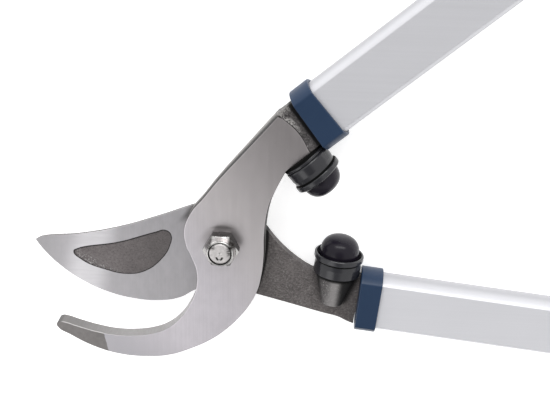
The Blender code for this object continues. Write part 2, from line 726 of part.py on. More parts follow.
HOOK = Side("hook", ROOT, HOOK_ANGLE, HOOK_HANDLE_OFFSET, HOOK_SEAT_OFFSET,
            HOOK_COLLAR_START, TANG_INSET, (HOOK_BOSS_RADIUS, HOOK_BOSS_TIP_RADIUS), -1)
BLADE = Side("blade", PIVOT, BLADE_ANGLE, -BLADE_HANDLE_OFFSET, -BLADE_SEAT_OFFSET,
             BLADE_COLLAR_START, BLADE_BACK + TANG_INSET, (BLADE_BOSS_RADIUS, BLADE_BOSS_TIP_RADIUS), 1)

build_hook(HOOK)
build_blade(BLADE)
build_pivot()
build_side(HOOK)
build_side(BLADE)
bpy.context.view_layer.update()
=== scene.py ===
# %% [markdown]
# # Dressing a bypass lopper
# The CAD model of the lopper is loaded as a fixed frame. It knows every size and how the two
# halves turn on their bolt. Each step below makes one real piece again with a finer surface, or
# gives a CAD piece its finish, and says why it was made that way.

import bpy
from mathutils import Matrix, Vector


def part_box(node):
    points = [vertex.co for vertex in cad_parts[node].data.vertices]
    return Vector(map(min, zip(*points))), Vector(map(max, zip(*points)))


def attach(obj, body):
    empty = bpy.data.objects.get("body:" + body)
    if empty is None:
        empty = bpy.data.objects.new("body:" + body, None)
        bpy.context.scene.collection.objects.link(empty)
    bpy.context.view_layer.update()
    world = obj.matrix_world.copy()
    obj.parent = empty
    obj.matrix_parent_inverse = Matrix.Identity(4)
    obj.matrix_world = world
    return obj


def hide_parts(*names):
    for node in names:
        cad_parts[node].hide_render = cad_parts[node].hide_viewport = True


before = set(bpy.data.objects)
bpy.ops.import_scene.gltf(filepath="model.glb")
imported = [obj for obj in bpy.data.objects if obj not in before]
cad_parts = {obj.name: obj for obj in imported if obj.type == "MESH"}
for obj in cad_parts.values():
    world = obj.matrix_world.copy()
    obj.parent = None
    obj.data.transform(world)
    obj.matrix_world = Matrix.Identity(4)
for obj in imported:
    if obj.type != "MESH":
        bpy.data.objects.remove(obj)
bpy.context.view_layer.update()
print("pieces in the frame:", len(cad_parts))

# %% [markdown]
# The jaws lie flat on each other in one plane, and every height on the tool is easiest to give
# from that plane. Each handle has its own straight line, so a piece on a handle is modelled along
# X as if that handle lay flat along X, and is then turned to the handle's angle. FIT is the play
# between two pieces, and OVERSHOOT is how far a cutter reaches past what it cuts.

# %% Shared sizes
from math import asin, cos, pi, radians, sin, sqrt
import bpy
from mathutils import Vector

MEET = 0.0141
FIT = 0.0003
OVERSHOOT = 0.004
HOOK_TURN = radians(40.3)
BLADE_TURN = radians(-5.9)
print("the jaws meet", round(MEET * 1000, 1), "mm above the floor")

# %% A handle's own directions


class Handle:
    """One handle: its angle, its tube's offset, its bumper seat, its collar's start, its tang."""

    def __init__(self, side, turn, offset, seat, collar, tang_low, facing):
        self.side = side
        self.body = side + "_side"
        self.turn = turn
        self.offset = offset
        self.seat = seat
        self.collar = collar
        self.tang_low = tang_low
        self.facing = facing

    def point(self, along, across):
        """A place along and across the handle, in the frame's X and Y."""
        return (along * cos(self.turn) - across * sin(self.turn),
                along * sin(self.turn) + across * cos(self.turn))

    def sharp(self, along, across):
        """The same place as an outline corner."""
        return (*self.point(along, across), "sharp")

    def measured(self, x, y):
        """How far along and across the handle a place in X and Y lies."""
        return (x * cos(self.turn) + y * sin(self.turn),
                y * cos(self.turn) - x * sin(self.turn))


hook_handle = Handle("hook", HOOK_TURN, offset=0.0229, seat=0.0088, collar=0.0752,
                     tang_low=0.0002, facing=-1)
blade_handle = Handle("blade", BLADE_TURN, offset=-0.0217, seat=-0.0097, collar=0.0726,
                      tang_low=-0.0053, facing=1)
print("handles stand", round((HOOK_TURN - BLADE_TURN) * 180 / pi, 1), "degrees apart")

# %% [markdown]
# Operators work on whatever is selected. These helpers pick one piece, fix its place into its
# mesh, and weld doubled points, so that every later step starts from a known state.

# %% Pick, settle and weld
DOUBLED = 0.000001
SAME_FLAT = radians(0.2)


def mode(name):
    bpy.ops.object.mode_set(mode=name)


def choose(piece):
    """Leaves object mode ready with this piece alone selected and active."""
    if bpy.context.object and bpy.context.object.mode != "OBJECT":
        mode("OBJECT")
    bpy.ops.object.select_all(action="DESELECT")
    piece.select_set(True)
    bpy.context.view_layer.objects.active = piece


def fresh(name, add, **sizes):
    """Adds a named primitive with nothing else selected."""
    bpy.ops.object.select_all(action="DESELECT")
    add(**sizes)
    bpy.context.object.name = name
    return bpy.context.object


def settle(piece, turn=(0, 0, 0), place=(0, 0, 0)):
    """Turns and places a piece, then writes that into its mesh."""
    choose(piece)
    piece.rotation_euler = turn
    piece.location = place
    bpy.ops.object.transform_apply(location=True, rotation=True, scale=True)
    return piece


def edit(piece, action="SELECT"):
    """Opens a piece in edit mode with all of it selected, or none of it."""
    choose(piece)
    mode("EDIT")
    bpy.ops.mesh.select_all(action=action)


def pick_points(piece, test):
    """Opens a piece in edit mode with only those points selected that pass a test."""
    edit(piece, "DESELECT")
    mode("OBJECT")
    for point in piece.data.vertices:
        point.select = test(point.co)
    mode("EDIT")


def weld(piece):
    """Merges doubled points, points every face outwards and joins slivers into flat faces."""
    edit(piece)
    bpy.ops.mesh.remove_doubles(threshold=DOUBLED)
    bpy.ops.mesh.normals_make_consistent(inside=False)
    bpy.ops.mesh.dissolve_limited(angle_limit=SAME_FLAT, delimit={"MATERIAL"})
    mode("OBJECT")
    return piece


def put_on(handle, piece):
    """Moves a piece from the flat X line to its handle."""
    return settle(piece, (0, 0, handle.turn), (0, 0, MEET))


print("helpers ready")

# %% [markdown]
# Forged and cut plates start as a drawn outline. The pen tool places knots one by one, automatic
# handles make the line flow through them, and a flat curve with a thickness becomes the plate.
# The curve's own bevel rounds its edges evenly, which a bevel after many cuts can't do.

# %% Draw an outline


def sketch(name, points, closed=True, flowing=True):
    """Draws a curve in the XY plane; a third entry in a point makes it a sharp corner."""
    drawn = fresh(name, bpy.ops.curve.primitive_bezier_circle_add, radius=0.01)
    mode("EDIT")
    bpy.ops.curve.select_all(action="SELECT")
    bpy.ops.curve.delete(type="VERT")
    for point in points:
        bpy.ops.curve.vertex_add(location=(point[0], point[1], 0))
    bpy.ops.curve.select_all(action="SELECT")
    bpy.ops.curve.handle_type_set(type="AUTOMATIC" if flowing else "VECTOR")
    if closed:
        bpy.ops.curve.cyclic_toggle()
    mode("OBJECT")
    for knot, point in zip(drawn.data.splines[0].bezier_points, points):
        if len(point) > 2:
            knot.handle_left_type = "VECTOR"
            knot.handle_right_type = "VECTOR"
    return drawn


def as_mesh(drawn, steps):
    """Turns a curve into a mesh with so many steps from knot to knot."""
    drawn.data.resolution_u = steps
    choose(drawn)
    bpy.ops.object.convert(target="MESH")
    return bpy.context.object


def plate(name, outline, low, high, rounding=0.0, flowing=True, grow=0.0):
    """A closed plate between two heights, with rounded edges."""
    drawn = sketch(name, outline, flowing=flowing)
    drawn.data.dimensions = "2D"
    drawn.data.fill_mode = "BOTH"
    drawn.data.extrude = (high - low) / 2 - rounding
    drawn.data.bevel_depth = rounding
    drawn.data.bevel_resolution = 2
    drawn.data.offset = grow - rounding
    made = as_mesh(drawn, 10 if flowing else 1)
    return weld(settle(made, place=(0, 0, (low + high) / 2)))


def bar(name, section, start, end):
    """A section drawn across a handle and drawn out along X."""
    made = plate(name, section, start, end, flowing=False)
    return settle(made, (pi / 2, 0, pi / 2))


print("drawing helpers ready")

# %% [markdown]
# Cups, domes and rings come off a lathe. Half a section is drawn once, its corners are rounded
# while it is still a line, and Spin turns it round the axis. The points on the axis are left
# alone, because they close the turned shape.

# %% Turn a section
ON_AXIS = 0.00001


def turned(name, profile, rounding=0.0, closed=False, steps=96):
    """A turned piece about Z from (radius, height) points."""
    made = as_mesh(sketch(name, profile, closed=closed, flowing=False), 1)
    settle(made, (pi / 2, 0, 0))
    if rounding:
        pick_points(made, lambda place: place.x > ON_AXIS)
        bpy.ops.mesh.bevel(offset=rounding, segments=3, affect="VERTICES", clamp_overlap=True)
    edit(made)
    bpy.ops.mesh.spin(steps=steps, angle=2 * pi, center=(0, 0, 0), axis=(0, 0, 1))
    mode("OBJECT")
    return weld(made)


def arc(radius, start, end, steps, centre=(0, 0)):
    """Points on a circle between two angles in degrees."""
    angles = [radians(start + (end - start) * i / steps) for i in range(steps + 1)]
    return [(centre[0] + radius * cos(a), centre[1] + radius * sin(a)) for a in angles]


print("lathe ready")

# %% [markdown]
# A boolean modifier cuts, joins or keeps what two shapes share. Applied at once, it leaves plain
# mesh. With material mode Transfer, the new faces keep the finish of the tool that cut them,
# as a milled pocket keeps the look of the mill.

# %% Cut, join and smooth


def modify(piece, kind, **settings):
    """Adds a modifier with its settings and applies it at once."""
    choose(piece)
    bpy.ops.object.modifier_add(type=kind)
    step = piece.modifiers[-1]
    for key, value in settings.items():
        setattr(step, key, value)
    bpy.ops.object.modifier_apply(modifier=step.name)
    return piece


def shape(piece, tool, operation="DIFFERENCE"):
    """Cuts, joins or intersects a piece with a tool, and removes the tool."""
    modify(piece, "BOOLEAN", operation=operation, object=tool, material_mode="TRANSFER")
    bpy.data.objects.remove(tool)
    return piece


def round_edges(piece, width, segments=3, angle=35):
    """Rounds every edge that turns by more than an angle."""
    return modify(piece, "BEVEL", width=width, segments=segments, angle_limit=radians(angle))


def smooth(piece, angle=40):
    """Shades round faces smooth and keeps flat faces flat up to their edges."""
    choose(piece)
    bpy.ops.object.shade_smooth_by_angle(angle=radians(angle))
    return modify(piece, "WEIGHTED_NORMAL", keep_sharp=True)


def wear(piece, *finishes):
    """Gives a piece its finishes, the first one on all faces that have none of their own."""
    for finish in finishes:
        piece.data.materials.append(finish)
    return piece


print("cutting helpers ready")

# %% [markdown]
# A finished piece takes the place of its CAD node and rides on the same body. One helper does
# both, so that neither is forgotten. It also counts edges that don't join exactly two faces,
# which a cut that went wrong would leave.

# %% Hand a piece over to the frame


def hand_over(piece, node, body):
    """The piece stands for a CAD node and moves with its body."""
    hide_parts(node)
    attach(piece, body)
    low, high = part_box(node)
    edit(piece, "DESELECT")
    bpy.ops.mesh.select_non_manifold()
    mode("OBJECT")
    gaps = sum(edge.select for edge in piece.data.edges)
    print(piece.name, "for", node, [round((b - a) * 1000, 1) for a, b in zip(low, high)], "mm,",
          len(piece.data.polygons), "faces,", gaps, "open edges")


def dress(handle, piece, node):
    """Hands over a piece of one handle, whose CAD node has the side's name in front."""
    hand_over(piece, f"{handle.side}_{node}", handle.body)


# %% [markdown]
# ## Finishes
# A finish is a small tree of shader nodes. Written as sums and products it stays readable, so one
# class wraps a socket and turns Python's operators into Math nodes, and one class builds a
# material and adds any other node.

# %% Sockets that can be calculated with


class Wire:
    """A socket that can be added, subtracted and multiplied."""

    def __init__(self, recipe, socket):
        self.recipe = recipe
        self.socket = socket

    def __add__(self, other):
        return self.recipe.math("ADD", self, other)

    def __radd__(self, other):
        return self.recipe.math("ADD", other, self)

    def __sub__(self, other):
        return self.recipe.math("SUBTRACT", self, other)

    def __rsub__(self, other):
        return self.recipe.math("SUBTRACT", other, self)

    def __mul__(self, other):
        return self.recipe.math("MULTIPLY", self, other)

    def __rmul__(self, other):
        return self.recipe.math("MULTIPLY", other, self)

    def between(self, start, end, low=0.0, high=1.0):
        """Follows the value smoothly from low at start to high at end."""
        return self.recipe.node("ShaderNodeMapRange", {"interpolation_type": "SMOOTHSTEP"},
                                {0: self, 1: start, 2: end, 3: low, 4: high})

    def fall(self, start, end, high=1.0):
        """Follows the value smoothly from high at start down to 0 at end."""
        return self.between(start, end, high, 0.0)

    def band(self, start, full, fade, end):
        """Rises to 1 between two values and falls back to 0 between two later ones."""
        return self.between(start, full) * self.fall(fade, end)


# %% A node tree to write recipes in


class Recipe:
    """A node tree with one method for its nodes and a few for common ones."""

    def __init__(self, tree):
        self.tree = tree

    def plug(self, socket, value):
        """Links a wire to a socket, or sets the socket to a plain value."""
        if isinstance(value, Wire):
            self.tree.links.new(value.socket, socket)
        else:
            socket.default_value = value

    def node(self, kind, settings=None, values=None, output=0):
        """Adds any node: its settings first, then the values or wires of its sockets."""
        made = self.tree.nodes.new(kind)
        for key, value in (settings or {}).items():
            setattr(made, key, value)
        for key, value in (values or {}).items():
            self.plug(made.inputs[key], value)
        return Wire(self, made.outputs[output])

    def math(self, operation, *values):
        return self.node("ShaderNodeMath", {"operation": operation}, dict(enumerate(values)))

    def spot(self, turn=0.0, scale=(1, 1, 1), move=(0, 0, 0)):
        """The point on the object, turned about Z and stretched for a pattern."""
        here = self.node("ShaderNodeTexCoord", output="Object")
        return self.node("ShaderNodeMapping", {"vector_type": "POINT"}, {
            "Vector": here, "Rotation": (0, 0, turn), "Scale": scale, "Location": move})

    def axis(self, place, name):
        """One coordinate of a point."""
        return self.node("ShaderNodeSeparateXYZ", values={"Vector": place}, output=name)

    def axes(self, names="XY"):
        """Coordinates of the point on the object."""
        place = self.spot()
        return [self.axis(place, name) for name in names]

    def noise(self, place, scale, detail=3.0, roughness=0.55):
        """Soft noise between 0 and 1."""
        return self.node("ShaderNodeTexNoise", values={
            "Vector": place, "Scale": scale, "Detail": detail, "Roughness": roughness})

    def blend(self, share, first, second):
        """Mixes two colours."""
        return self.node("ShaderNodeMix", {"data_type": "RGBA"}, {0: share, 6: first, 7: second}, 2)

    def layers(self, colour, *coats):
        """Lays tones over a colour one after the other, each by its own share."""
        for share, coat in coats:
            colour = self.blend(share, colour, coat)
        return colour


# %% A finish under construction


class Finish(Recipe):
    """A Principled material; numbers that are the same all over go on its own sockets."""

    def __init__(self, name, metallic=0.0, specular=0.5):
        self.material = bpy.data.materials.new(name)
        self.material.use_nodes = True
        super().__init__(self.material.node_tree)
        self.shader = self.tree.nodes["Principled BSDF"]
        self.shader.inputs["Metallic"].default_value = metallic
        self.shader.inputs["Specular IOR Level"].default_value = specular

    def done(self, colour, roughness, height=None, depth=0.0003, strength=0.6):
        """Wires colour, roughness and bump to the shader."""
        self.plug(self.shader.inputs["Base Color"], colour)
        self.plug(self.shader.inputs["Roughness"], roughness)
        if height is not None:
            bump = self.node("ShaderNodeBump", values={
                "Height": height, "Distance": depth, "Strength": strength})
            self.plug(self.shader.inputs["Normal"], bump)
        print("finish:", self.material.name, len(self.tree.nodes), "nodes")
        return self.material


def tone(value, red=1.0, blue=1.0):
    """A grey with its red and blue raised or lowered."""
    return (value * red, value, value * blue, 1)


# %% [markdown]
# The flat of each jaw is ground on a belt, with fine strokes across the tool. Fine lines run
# along Y and wide soft bands and clouds lie behind them. The fresh steel stops where the belt
# stops: near the hook's tip and before the neck the dark forging skin is left.

# %% Ground steel


def ground_steel(name, dark, light, lines, bands, clouds):
    """Belt ground steel with strokes along Y: the finish, its colour, roughness and lines."""
    finish = Finish(name, metallic=0.9, specular=0.25)
    fine = finish.noise(finish.spot(scale=(1500, 26, 300)), 1.0, 4.0)
    broad = finish.noise(finish.spot(scale=(120, 8, 40)), 1.0)
    soft = finish.noise(finish.spot(turn=0.5, scale=(230, 150, 80)), 1.0, 3.0, 0.6)
    half = (lines + bands + clouds) * 0.5
    share = (fine * lines + broad * bands + soft * clouds).between(half * 0.68, half * 1.32)
    return finish, finish.blend(share, dark, light), 0.25 + fine * 0.12 + soft * 0.06, fine


# %% Forging skin


def forged_skin(finish, dark, light, sparkle=0.3):
    """Colour, roughness and height of scale: patches, fine pits and a few bright grains."""
    place = finish.spot()
    grain = finish.noise(finish.spot(scale=(0.7, 1, 1)), 1100, 3.0, 0.65)
    patch = finish.noise(place, 110)
    grit = finish.noise(place, 1700, 2.0).between(0.56, 0.72)
    pit = finish.noise(finish.spot(move=(5, 2, 1)), 1300, 2.0).between(0.55, 0.70)
    patches = (grain * 0.65 + patch * 0.35).between(0.36, 0.64)
    colour = finish.layers(dark, (patches, light), (grit * sparkle, tone(0.42, 1.02, 0.97)),
                           (pit * 0.45, tone(0.03, 1.05, 0.95)))
    return colour, 0.50 + grain * 0.22, grain + patch * 0.5


# %% [markdown]
# Painted shade lies in the corner where a boss meets the bar it was forged on, more on the side
# next to the collar. The corner's place follows the boss's own taper.

# %% Painted shade beside a boss
BUMPER_ALONG = 0.0595
BOSS_REACH = 0.0173
HOOK_BOSS = (0.0082, 0.0038)
BLADE_BOSS = (0.0106, 0.0053)


def beside_boss(finish, handle, wide, narrow):
    """A point's place right of a boss's axis and below its seat, and the share of painted shade
    there.
    """
    along, across = handle.measured(*finish.axes())
    right = along - BUMPER_ALONG
    down = (across - handle.seat) * -handle.facing
    flank = finish.math("ABSOLUTE", right) - wide + down * ((wide - narrow) / BOSS_REACH)
    boss_painted_shade = (flank.band(-0.0022, -0.0004, 0.0004, 0.0036)
            * down.band(0.0, 0.002, 0.0150, 0.0190)
            * right.between(-0.002, 0.002, 0.35, 0.9))
    return right, down, boss_painted_shade


# %% [markdown]
# The hook needs both in one material, divided by place. Height picks the flat faces, one line
# near the tip and another before the neck bound the ground area, and the sides above the pivot
# keep their dull skin while the jaw's inner side is ground. Towards the neck the ground face is
# painted darker as shade, painted shade and shadow lie round the nut, and the tip's edge has a
# painted highlight.

# %% The hook's finish
# How strongly the ground face is painted darker towards the neck, as painted shade.
ARM_PAINTED_SHADE = 0.53


def ground_end(finish, across):
    """How much earlier the ground face ends beside the arm's middle: a bow, and a cut corner."""
    corner = finish.math("MAXIMUM", across - 0.0300, 0.0)
    return (across - 0.0255) * (across - 0.0255) * 9.0 + corner * 0.45


def hook_finish():
    finish, ground, ground_rough, fine = ground_steel(
        "ground_hook", tone(0.61, 1.05, 1.06), tone(0.68, 1.05, 1.06), 0.35, 0.25, 0.35)
    place = finish.spot()
    x, y, z = finish.axes("XYZ")
    along, across = hook_handle.measured(x, y)
    ragged = (finish.noise(place, 500) - 0.5) * 0.0012
    flat = z.between(0.02235, 0.02255) + z.fall(0.01415, 0.0143)
    belt = (x + y * 0.22 + ragged).between(-0.0745, -0.0741)
    neck = (along + ground_end(finish, across) + ragged * 0.5).fall(0.0684, 0.0688)
    reach = finish.math("SQRT", x * x + y * y)
    # Painted shade round the nut and a painted shadow just above it on the ground face.
    nut_painted_shade = reach.fall(0.0092, 0.0130, 0.32) * y.between(-0.002, 0.006)
    nut_painted_shadow = reach.fall(0.0104, 0.0120, 0.5) * y.between(0.0090, 0.0102)
    # The blend towards the neck is painted shade; the two blends by the nut are painted shade and
    # shadow.
    ground = finish.layers(
        ground, (along.fall(-0.085, -0.045, 0.95), tone(0.43, 1.03, 1.06)),
        (along.between(-0.025, 0.020, 0.0, 0.75), tone(0.62, 1.06, 0.99)),
        (along.between(0.008, 0.066, 0.0, ARM_PAINTED_SHADE), tone(0.12, 1.14, 0.99)),
        (nut_painted_shade, tone(0.20, 1.12, 0.96)), (nut_painted_shadow, tone(0.10, 1.10, 0.96)))
    skin, skin_rough, skin_height = forged_skin(finish, tone(0.020, 1.1), tone(0.075, 1.08))
    bright_side = finish.layers(
        tone(0.22, 1.04, 0.98), (x.between(-0.084, -0.050), tone(0.39, 1.03, 0.99)),
        (fine * 0.5, tone(0.16, 1.04, 0.98)))
    dark_side = finish.layers(
        tone(0.15, 1.05, 0.98), (across.between(0.015, 0.020), tone(0.30, 1.04, 0.96)),
        (z.between(0.0150, 0.0205), tone(0.018, 1.05, 0.98)))
    unground = y.between(-0.036, -0.010)
    side = finish.blend(unground, bright_side, dark_side)
    tip_skin = finish.blend(finish.noise(place, 420), tone(0.145, 1.06, 0.98),
                            tone(0.23, 1.06, 0.98))
    # A painted highlight on the rounded edge beside the tip.
    rim = z.band(0.02205, 0.0222, 0.0224, 0.0225)
    inner = (y + x * 0.42).between(-0.0870, -0.0862) * x.between(-0.0855, -0.0835)
    end = x.fall(-0.0866, -0.0838) * (1 - flat)
    worn = finish.layers(
        side, (flat, ground), (flat * (1 - belt), tip_skin),
        (rim * inner * (1 - belt), tone(0.50, 1.02, 0.98)), (end * 0.9, tone(0.05, 1.05)))
    colour = finish.blend(neck, skin, worn)
    finish.plug(finish.shader.inputs["Metallic"],
                neck * (flat * (0.4 + belt * 0.5) + (1 - flat) * (1 - unground) * 0.9))
    scaly = (1 - neck) + neck * (1 - flat) * unground
    roughness = skin_rough * scaly + ground_rough * (1 - scaly)
    height = skin_height * scaly + fine * (1 - scaly) * 0.06
    return finish.done(colour, roughness, height, strength=0.7)


HOOK_STEEL = hook_finish()

# %% [markdown]
# The blade is mottled with soft clouds and carries one leaning painted highlight between its tip
# and its pocket, and a painted shadow beside the hook's arm. Its tang past the pivot keeps the
# forging skin, with a black painted shadow along the hook's edge where the hook lies over it.
# The pocket and the boss are skin all over, with painted shade on the pocket's wall and round the
# boss.

# %% The blade's finish
TANG_TONES = (tone(0.086, 1.11, 0.99), tone(0.160, 1.10, 0.98))


def blade_finish():
    finish, ground, ground_rough, fine = ground_steel(
        "ground_blade", tone(0.415, 1.03, 1.04), tone(0.465, 1.03, 1.04), 0.3, 0.2, 0.5)
    x, y, z = finish.axes("XYZ")
    # A leaning painted highlight across the ground face.
    painted_gleam = (x - y * 0.22).band(-0.083, -0.070, -0.064, -0.052)
    brushed = finish.noise(finish.spot(turn=-0.5, scale=(70, 700, 300)), 1.0)
    spine = z.fall(0.01350, 0.01362) * (y - x * 0.26).between(0.008, 0.010)
    # Painted shadow of the hook's arm on the blade.
    arm_painted_shadow = (x - y * 0.75).between(-0.0316, -0.0282) * y.between(0.007, 0.013)
    ground = finish.layers(
        ground, (painted_gleam * (0.5 + brushed * 0.6), tone(0.72, 1.02, 1.03)),
        (x.fall(-0.096, -0.080, 0.55), tone(0.31, 1.02, 1.02)),
        (spine, tone(0.13, 1.05, 0.98)), (arm_painted_shadow * 0.75, tone(0.10, 1.05)))
    skin, skin_rough, skin_height = forged_skin(finish, *TANG_TONES, 0.35)
    # Painted shade beside the boss on the tang.
    boss_painted_shade = beside_boss(finish, blade_handle, *BLADE_BOSS)[2]
    # A black painted shadow along the hook's right edge, on the tang.
    hook_shadow_edge = x - 0.0219 + (y - 0.003) * (y - 0.003) * 5.4
    skin = finish.layers(skin, (boss_painted_shade, tone(0.012, 1.05)),
                         (hook_shadow_edge.fall(0.0006, 0.0018, 0.95), tone(0.006)))
    bare = x.fall(-0.002, 0.003)
    finish.plug(finish.shader.inputs["Metallic"], 0.3 + bare * (1 - spine) * 0.6)
    roughness = skin_rough * (1 - bare) + ground_rough * bare
    height = skin_height * (1 - bare) + fine * bare * 0.06
    return finish.done(finish.blend(bare, skin, ground), roughness, height)


def skin_finish(name, dark, light, sparkle=0.3):
    finish = Finish(name, metallic=0.4)
    return finish.done(*forged_skin(finish, dark, light, sparkle))


def pocket_finish():
    """Skin that darkens towards the pivot, with a few bright grains towards the lower left."""
    finish = Finish("pocket_skin", metallic=0.4)
    colour, roughness, height = forged_skin(finish, tone(0.124, 1.12), tone(0.184, 1.11), 0.12)
    x, y = finish.axes()
    grains = finish.noise(finish.spot(), 1500, 2.0).between(0.54, 0.66)
    low_left = (x * 0.55 + y).fall(-0.058, -0.049)
    colour = finish.layers(
        colour, (x.between(-0.062, -0.028, 0.0, 0.5), tone(0.075, 1.1)),
        (grains * low_left * 0.9, tone(0.62, 1.03)))
    return finish.done(colour, roughness, height)


def neck_finish():
    """Dark skin, scraped bright where the belt ended, with a black painted shadow beside the
    collar.
    """
    finish = Finish("neck_skin", metallic=0.2, specular=0.2)
    colour, roughness, height = forged_skin(finish, tone(0.030, 1.1), tone(0.105, 1.08), 0.4)
    along, across = hook_handle.measured(*finish.axes())
    bow = along + ground_end(finish, across)
    scrape = bow.fall(0.0688, 0.0706) * across.between(0.018, 0.031)
    corner = across.between(0.0335, 0.0350) * along.fall(0.0735, 0.0750)
    grains = finish.noise(finish.spot(), 1300).between(0.40, 0.58)
    # A black painted shadow on the tang beside the collar.
    collar_painted_shadow = (along + (0.034 - across) * 0.057).between(0.0713, 0.0727)
    colour = finish.layers(
        colour, ((scrape * 0.8 + corner * 0.4) * grains, tone(0.50, 1.03, 0.96)),
        (collar_painted_shadow * 0.95, tone(0.004)))
    return finish.done(colour, roughness, height, strength=0.8)


def edge_finish():
    finish = Finish("ground_edge", metallic=0.9)
    lines = finish.noise(finish.spot(scale=(1800, 60, 200)), 1.0)
    colour = finish.blend(lines, tone(0.50, 1.0, 1.03), tone(0.66, 1.0, 1.03))
    return finish.done(colour, 0.26 + lines * 0.12, lines, 0.00005, 0.3)


def boss_finish(name, handle, wide, narrow):
    """Forging skin with a painted highlight streak down the round, painted shade on its flanks and
    beside it, and a painted shadow under the cup.
    """
    finish = Finish(name, metallic=0.4, specular=0.15)
    colour, roughness, height = forged_skin(finish, tone(0.086, 1.07), tone(0.172, 1.06), 0.7)
    right, down, boss_painted_shade = beside_boss(finish, handle, wide, narrow)
    streak = right.band(-0.0050, 0.0000, 0.0004, 0.0040)
    # Painted highlight down the middle, painted shade on both flanks and beside the boss, and a
    # painted shadow at the foot of the cup.
    colour = finish.layers(
        colour, (streak * 0.6, tone(0.40, 1.04, 0.99)),
        (right.between(0.0008, 0.0046, 0.0, 0.92), tone(0.015)),
        (right.fall(-0.0090, -0.0058, 0.85), tone(0.02)), (boss_painted_shade, tone(0.012)),
        (down.fall(0.0004, 0.0022, 0.95), tone(0.006)))
    return finish.done(colour, roughness, height)


BLADE_STEEL = blade_finish()
TANG_SKIN = skin_finish("forging_skin", *TANG_TONES)
NECK_SKIN = neck_finish()
POCKET_SKIN = pocket_finish()
# The pocket's wall is painted dark as shade.
POCKET_WALL_SHADE = skin_finish("pocket_wall_shade", tone(0.02, 1.1), tone(0.05, 1.1), 0.1)
HOOK_BOSS_SKIN_AND_SHADE = boss_finish("hook_boss_skin_and_shade", hook_handle, *HOOK_BOSS)
BLADE_BOSS_SKIN_AND_SHADE = boss_finish("blade_boss_skin_and_shade", blade_handle, *BLADE_BOSS)
GROUND_EDGE = edge_finish()

# %% [markdown]
# The tubes are extruded aluminium with a satin anodised coat. Extrusion leaves long faint lines,
# so the pattern is turned to each handle and stretched along it. The bulging sides are painted
# darker towards the back, as painted shade.

# %% Anodised tube


def tube_finish(handle, grey):
    finish = Finish(handle.side + "_tube_anodised", metallic=0.35)
    lines = finish.noise(finish.spot(turn=-handle.turn, scale=(4, 900, 900)), 1.0)
    cloud = finish.noise(finish.spot(), 30, 2.0)
    # Painted shade: the bulging sides are darker the lower they lie.
    low = finish.axes("Z")[0].fall(0.0160, 0.0216, 0.60)
    colour = finish.layers(
        tone(grey - 0.05, 1.0, 1.045),
        (lines * 0.5 + cloud * 0.5, tone(grey + 0.05, 1.0, 1.045)), (low, tone(0.24, 1.0, 1.06)))
    return finish.done(colour, 0.34 + lines * 0.08, lines, 0.00003, 0.25)


TUBE_FINISHES = ((hook_handle, tube_finish(hook_handle, 0.625)),
                 (blade_handle, tube_finish(blade_handle, 0.70)))

# %% [markdown]
# Moulded plastic is even in colour with a very fine skin from the mould. The collars are navy,
# the cups black with more gloss, the rubber domes softer, and the grips have a fine pebbled skin.
# The cups' grooves and feet and the pads' roots, which hardly any light reaches, get a nearly black
# painted shade.

# %% Plastics and rubbers


def moulded(name, dark, light, roughness, grain_size, depth, specular=0.5):
    finish = Finish(name, specular=specular)
    cloud = finish.noise(finish.spot(), 60)
    return finish.done(finish.blend(cloud, dark, light), roughness + cloud * 0.10,
                       finish.noise(finish.spot(), grain_size, 2.0), depth, 0.4)


def pebbled(name, dark, light):
    finish = Finish(name)
    pebble = finish.node("ShaderNodeTexVoronoi", values={"Vector": finish.spot(), "Scale": 700})
    cloud = finish.noise(finish.spot(), 50)
    return finish.done(finish.blend(cloud * 0.6 + pebble * 0.4, dark, light),
                       0.62 + cloud * 0.12, pebble, 0.00025)


NAVY = moulded("navy_plastic", (0.0095, 0.0275, 0.067, 1), (0.0140, 0.0360, 0.082, 1), 0.34, 1800,
               0.00003, 0.35)
BLACK = moulded("black_plastic", tone(0.014, 1.0, 1.2), tone(0.025, 1.0, 1.2), 0.15, 1500, 0.00004)
SHADED = moulded("shaded_plastic", tone(0.002), tone(0.004), 0.6, 1500, 0.00002, 0.06)
DOME = moulded("dome_rubber", tone(0.007, 1.2, 1.6), tone(0.012, 1.2, 1.6), 0.18, 1200, 0.00003,
               0.20)
PACKING = moulded("black_packing", tone(0.03), tone(0.05), 0.5, 900, 0.00005)
RING_PLASTIC = moulded("ring_nylon", tone(0.05), tone(0.08), 0.5, 900, 0.00003)
GRIP = pebbled("grip_rubber", tone(0.022), tone(0.040))

# %% [markdown]
# Plated fasteners are bright with a faint yellow cast and small dark marks. The nut's side walls
# are painted dark as painted reflection and one of them black as painted shade, and its upper
# corners and the rim of the bolt's end carry dark painted reflections.

# %% Plated and cast metals
MARK = tone(0.16, 1.03, 0.97)


def clouded(name, dark, light, size, metallic=1.0, specular=0.5):
    """A metal with soft clouds: the finish, its colour, the clouds and the small marks."""
    finish = Finish(name, metallic, specular)
    cloud = finish.noise(finish.spot(), size, 4.0, 0.6)
    mark = finish.noise(finish.spot(), size * 4).between(0.60, 0.74)
    return finish, finish.blend(cloud, dark, light), cloud, mark


def finished(finish, colour, roughness, cloud):
    return finish.done(colour, roughness + cloud * 0.12, cloud, 0.00008, 0.35)


def plated(name, dark, light, roughness, size, marks=0.35):
    finish, colour, cloud, mark = clouded(name, dark, light, size)
    return finished(finish, finish.blend(mark * marks, colour, MARK), roughness, cloud)


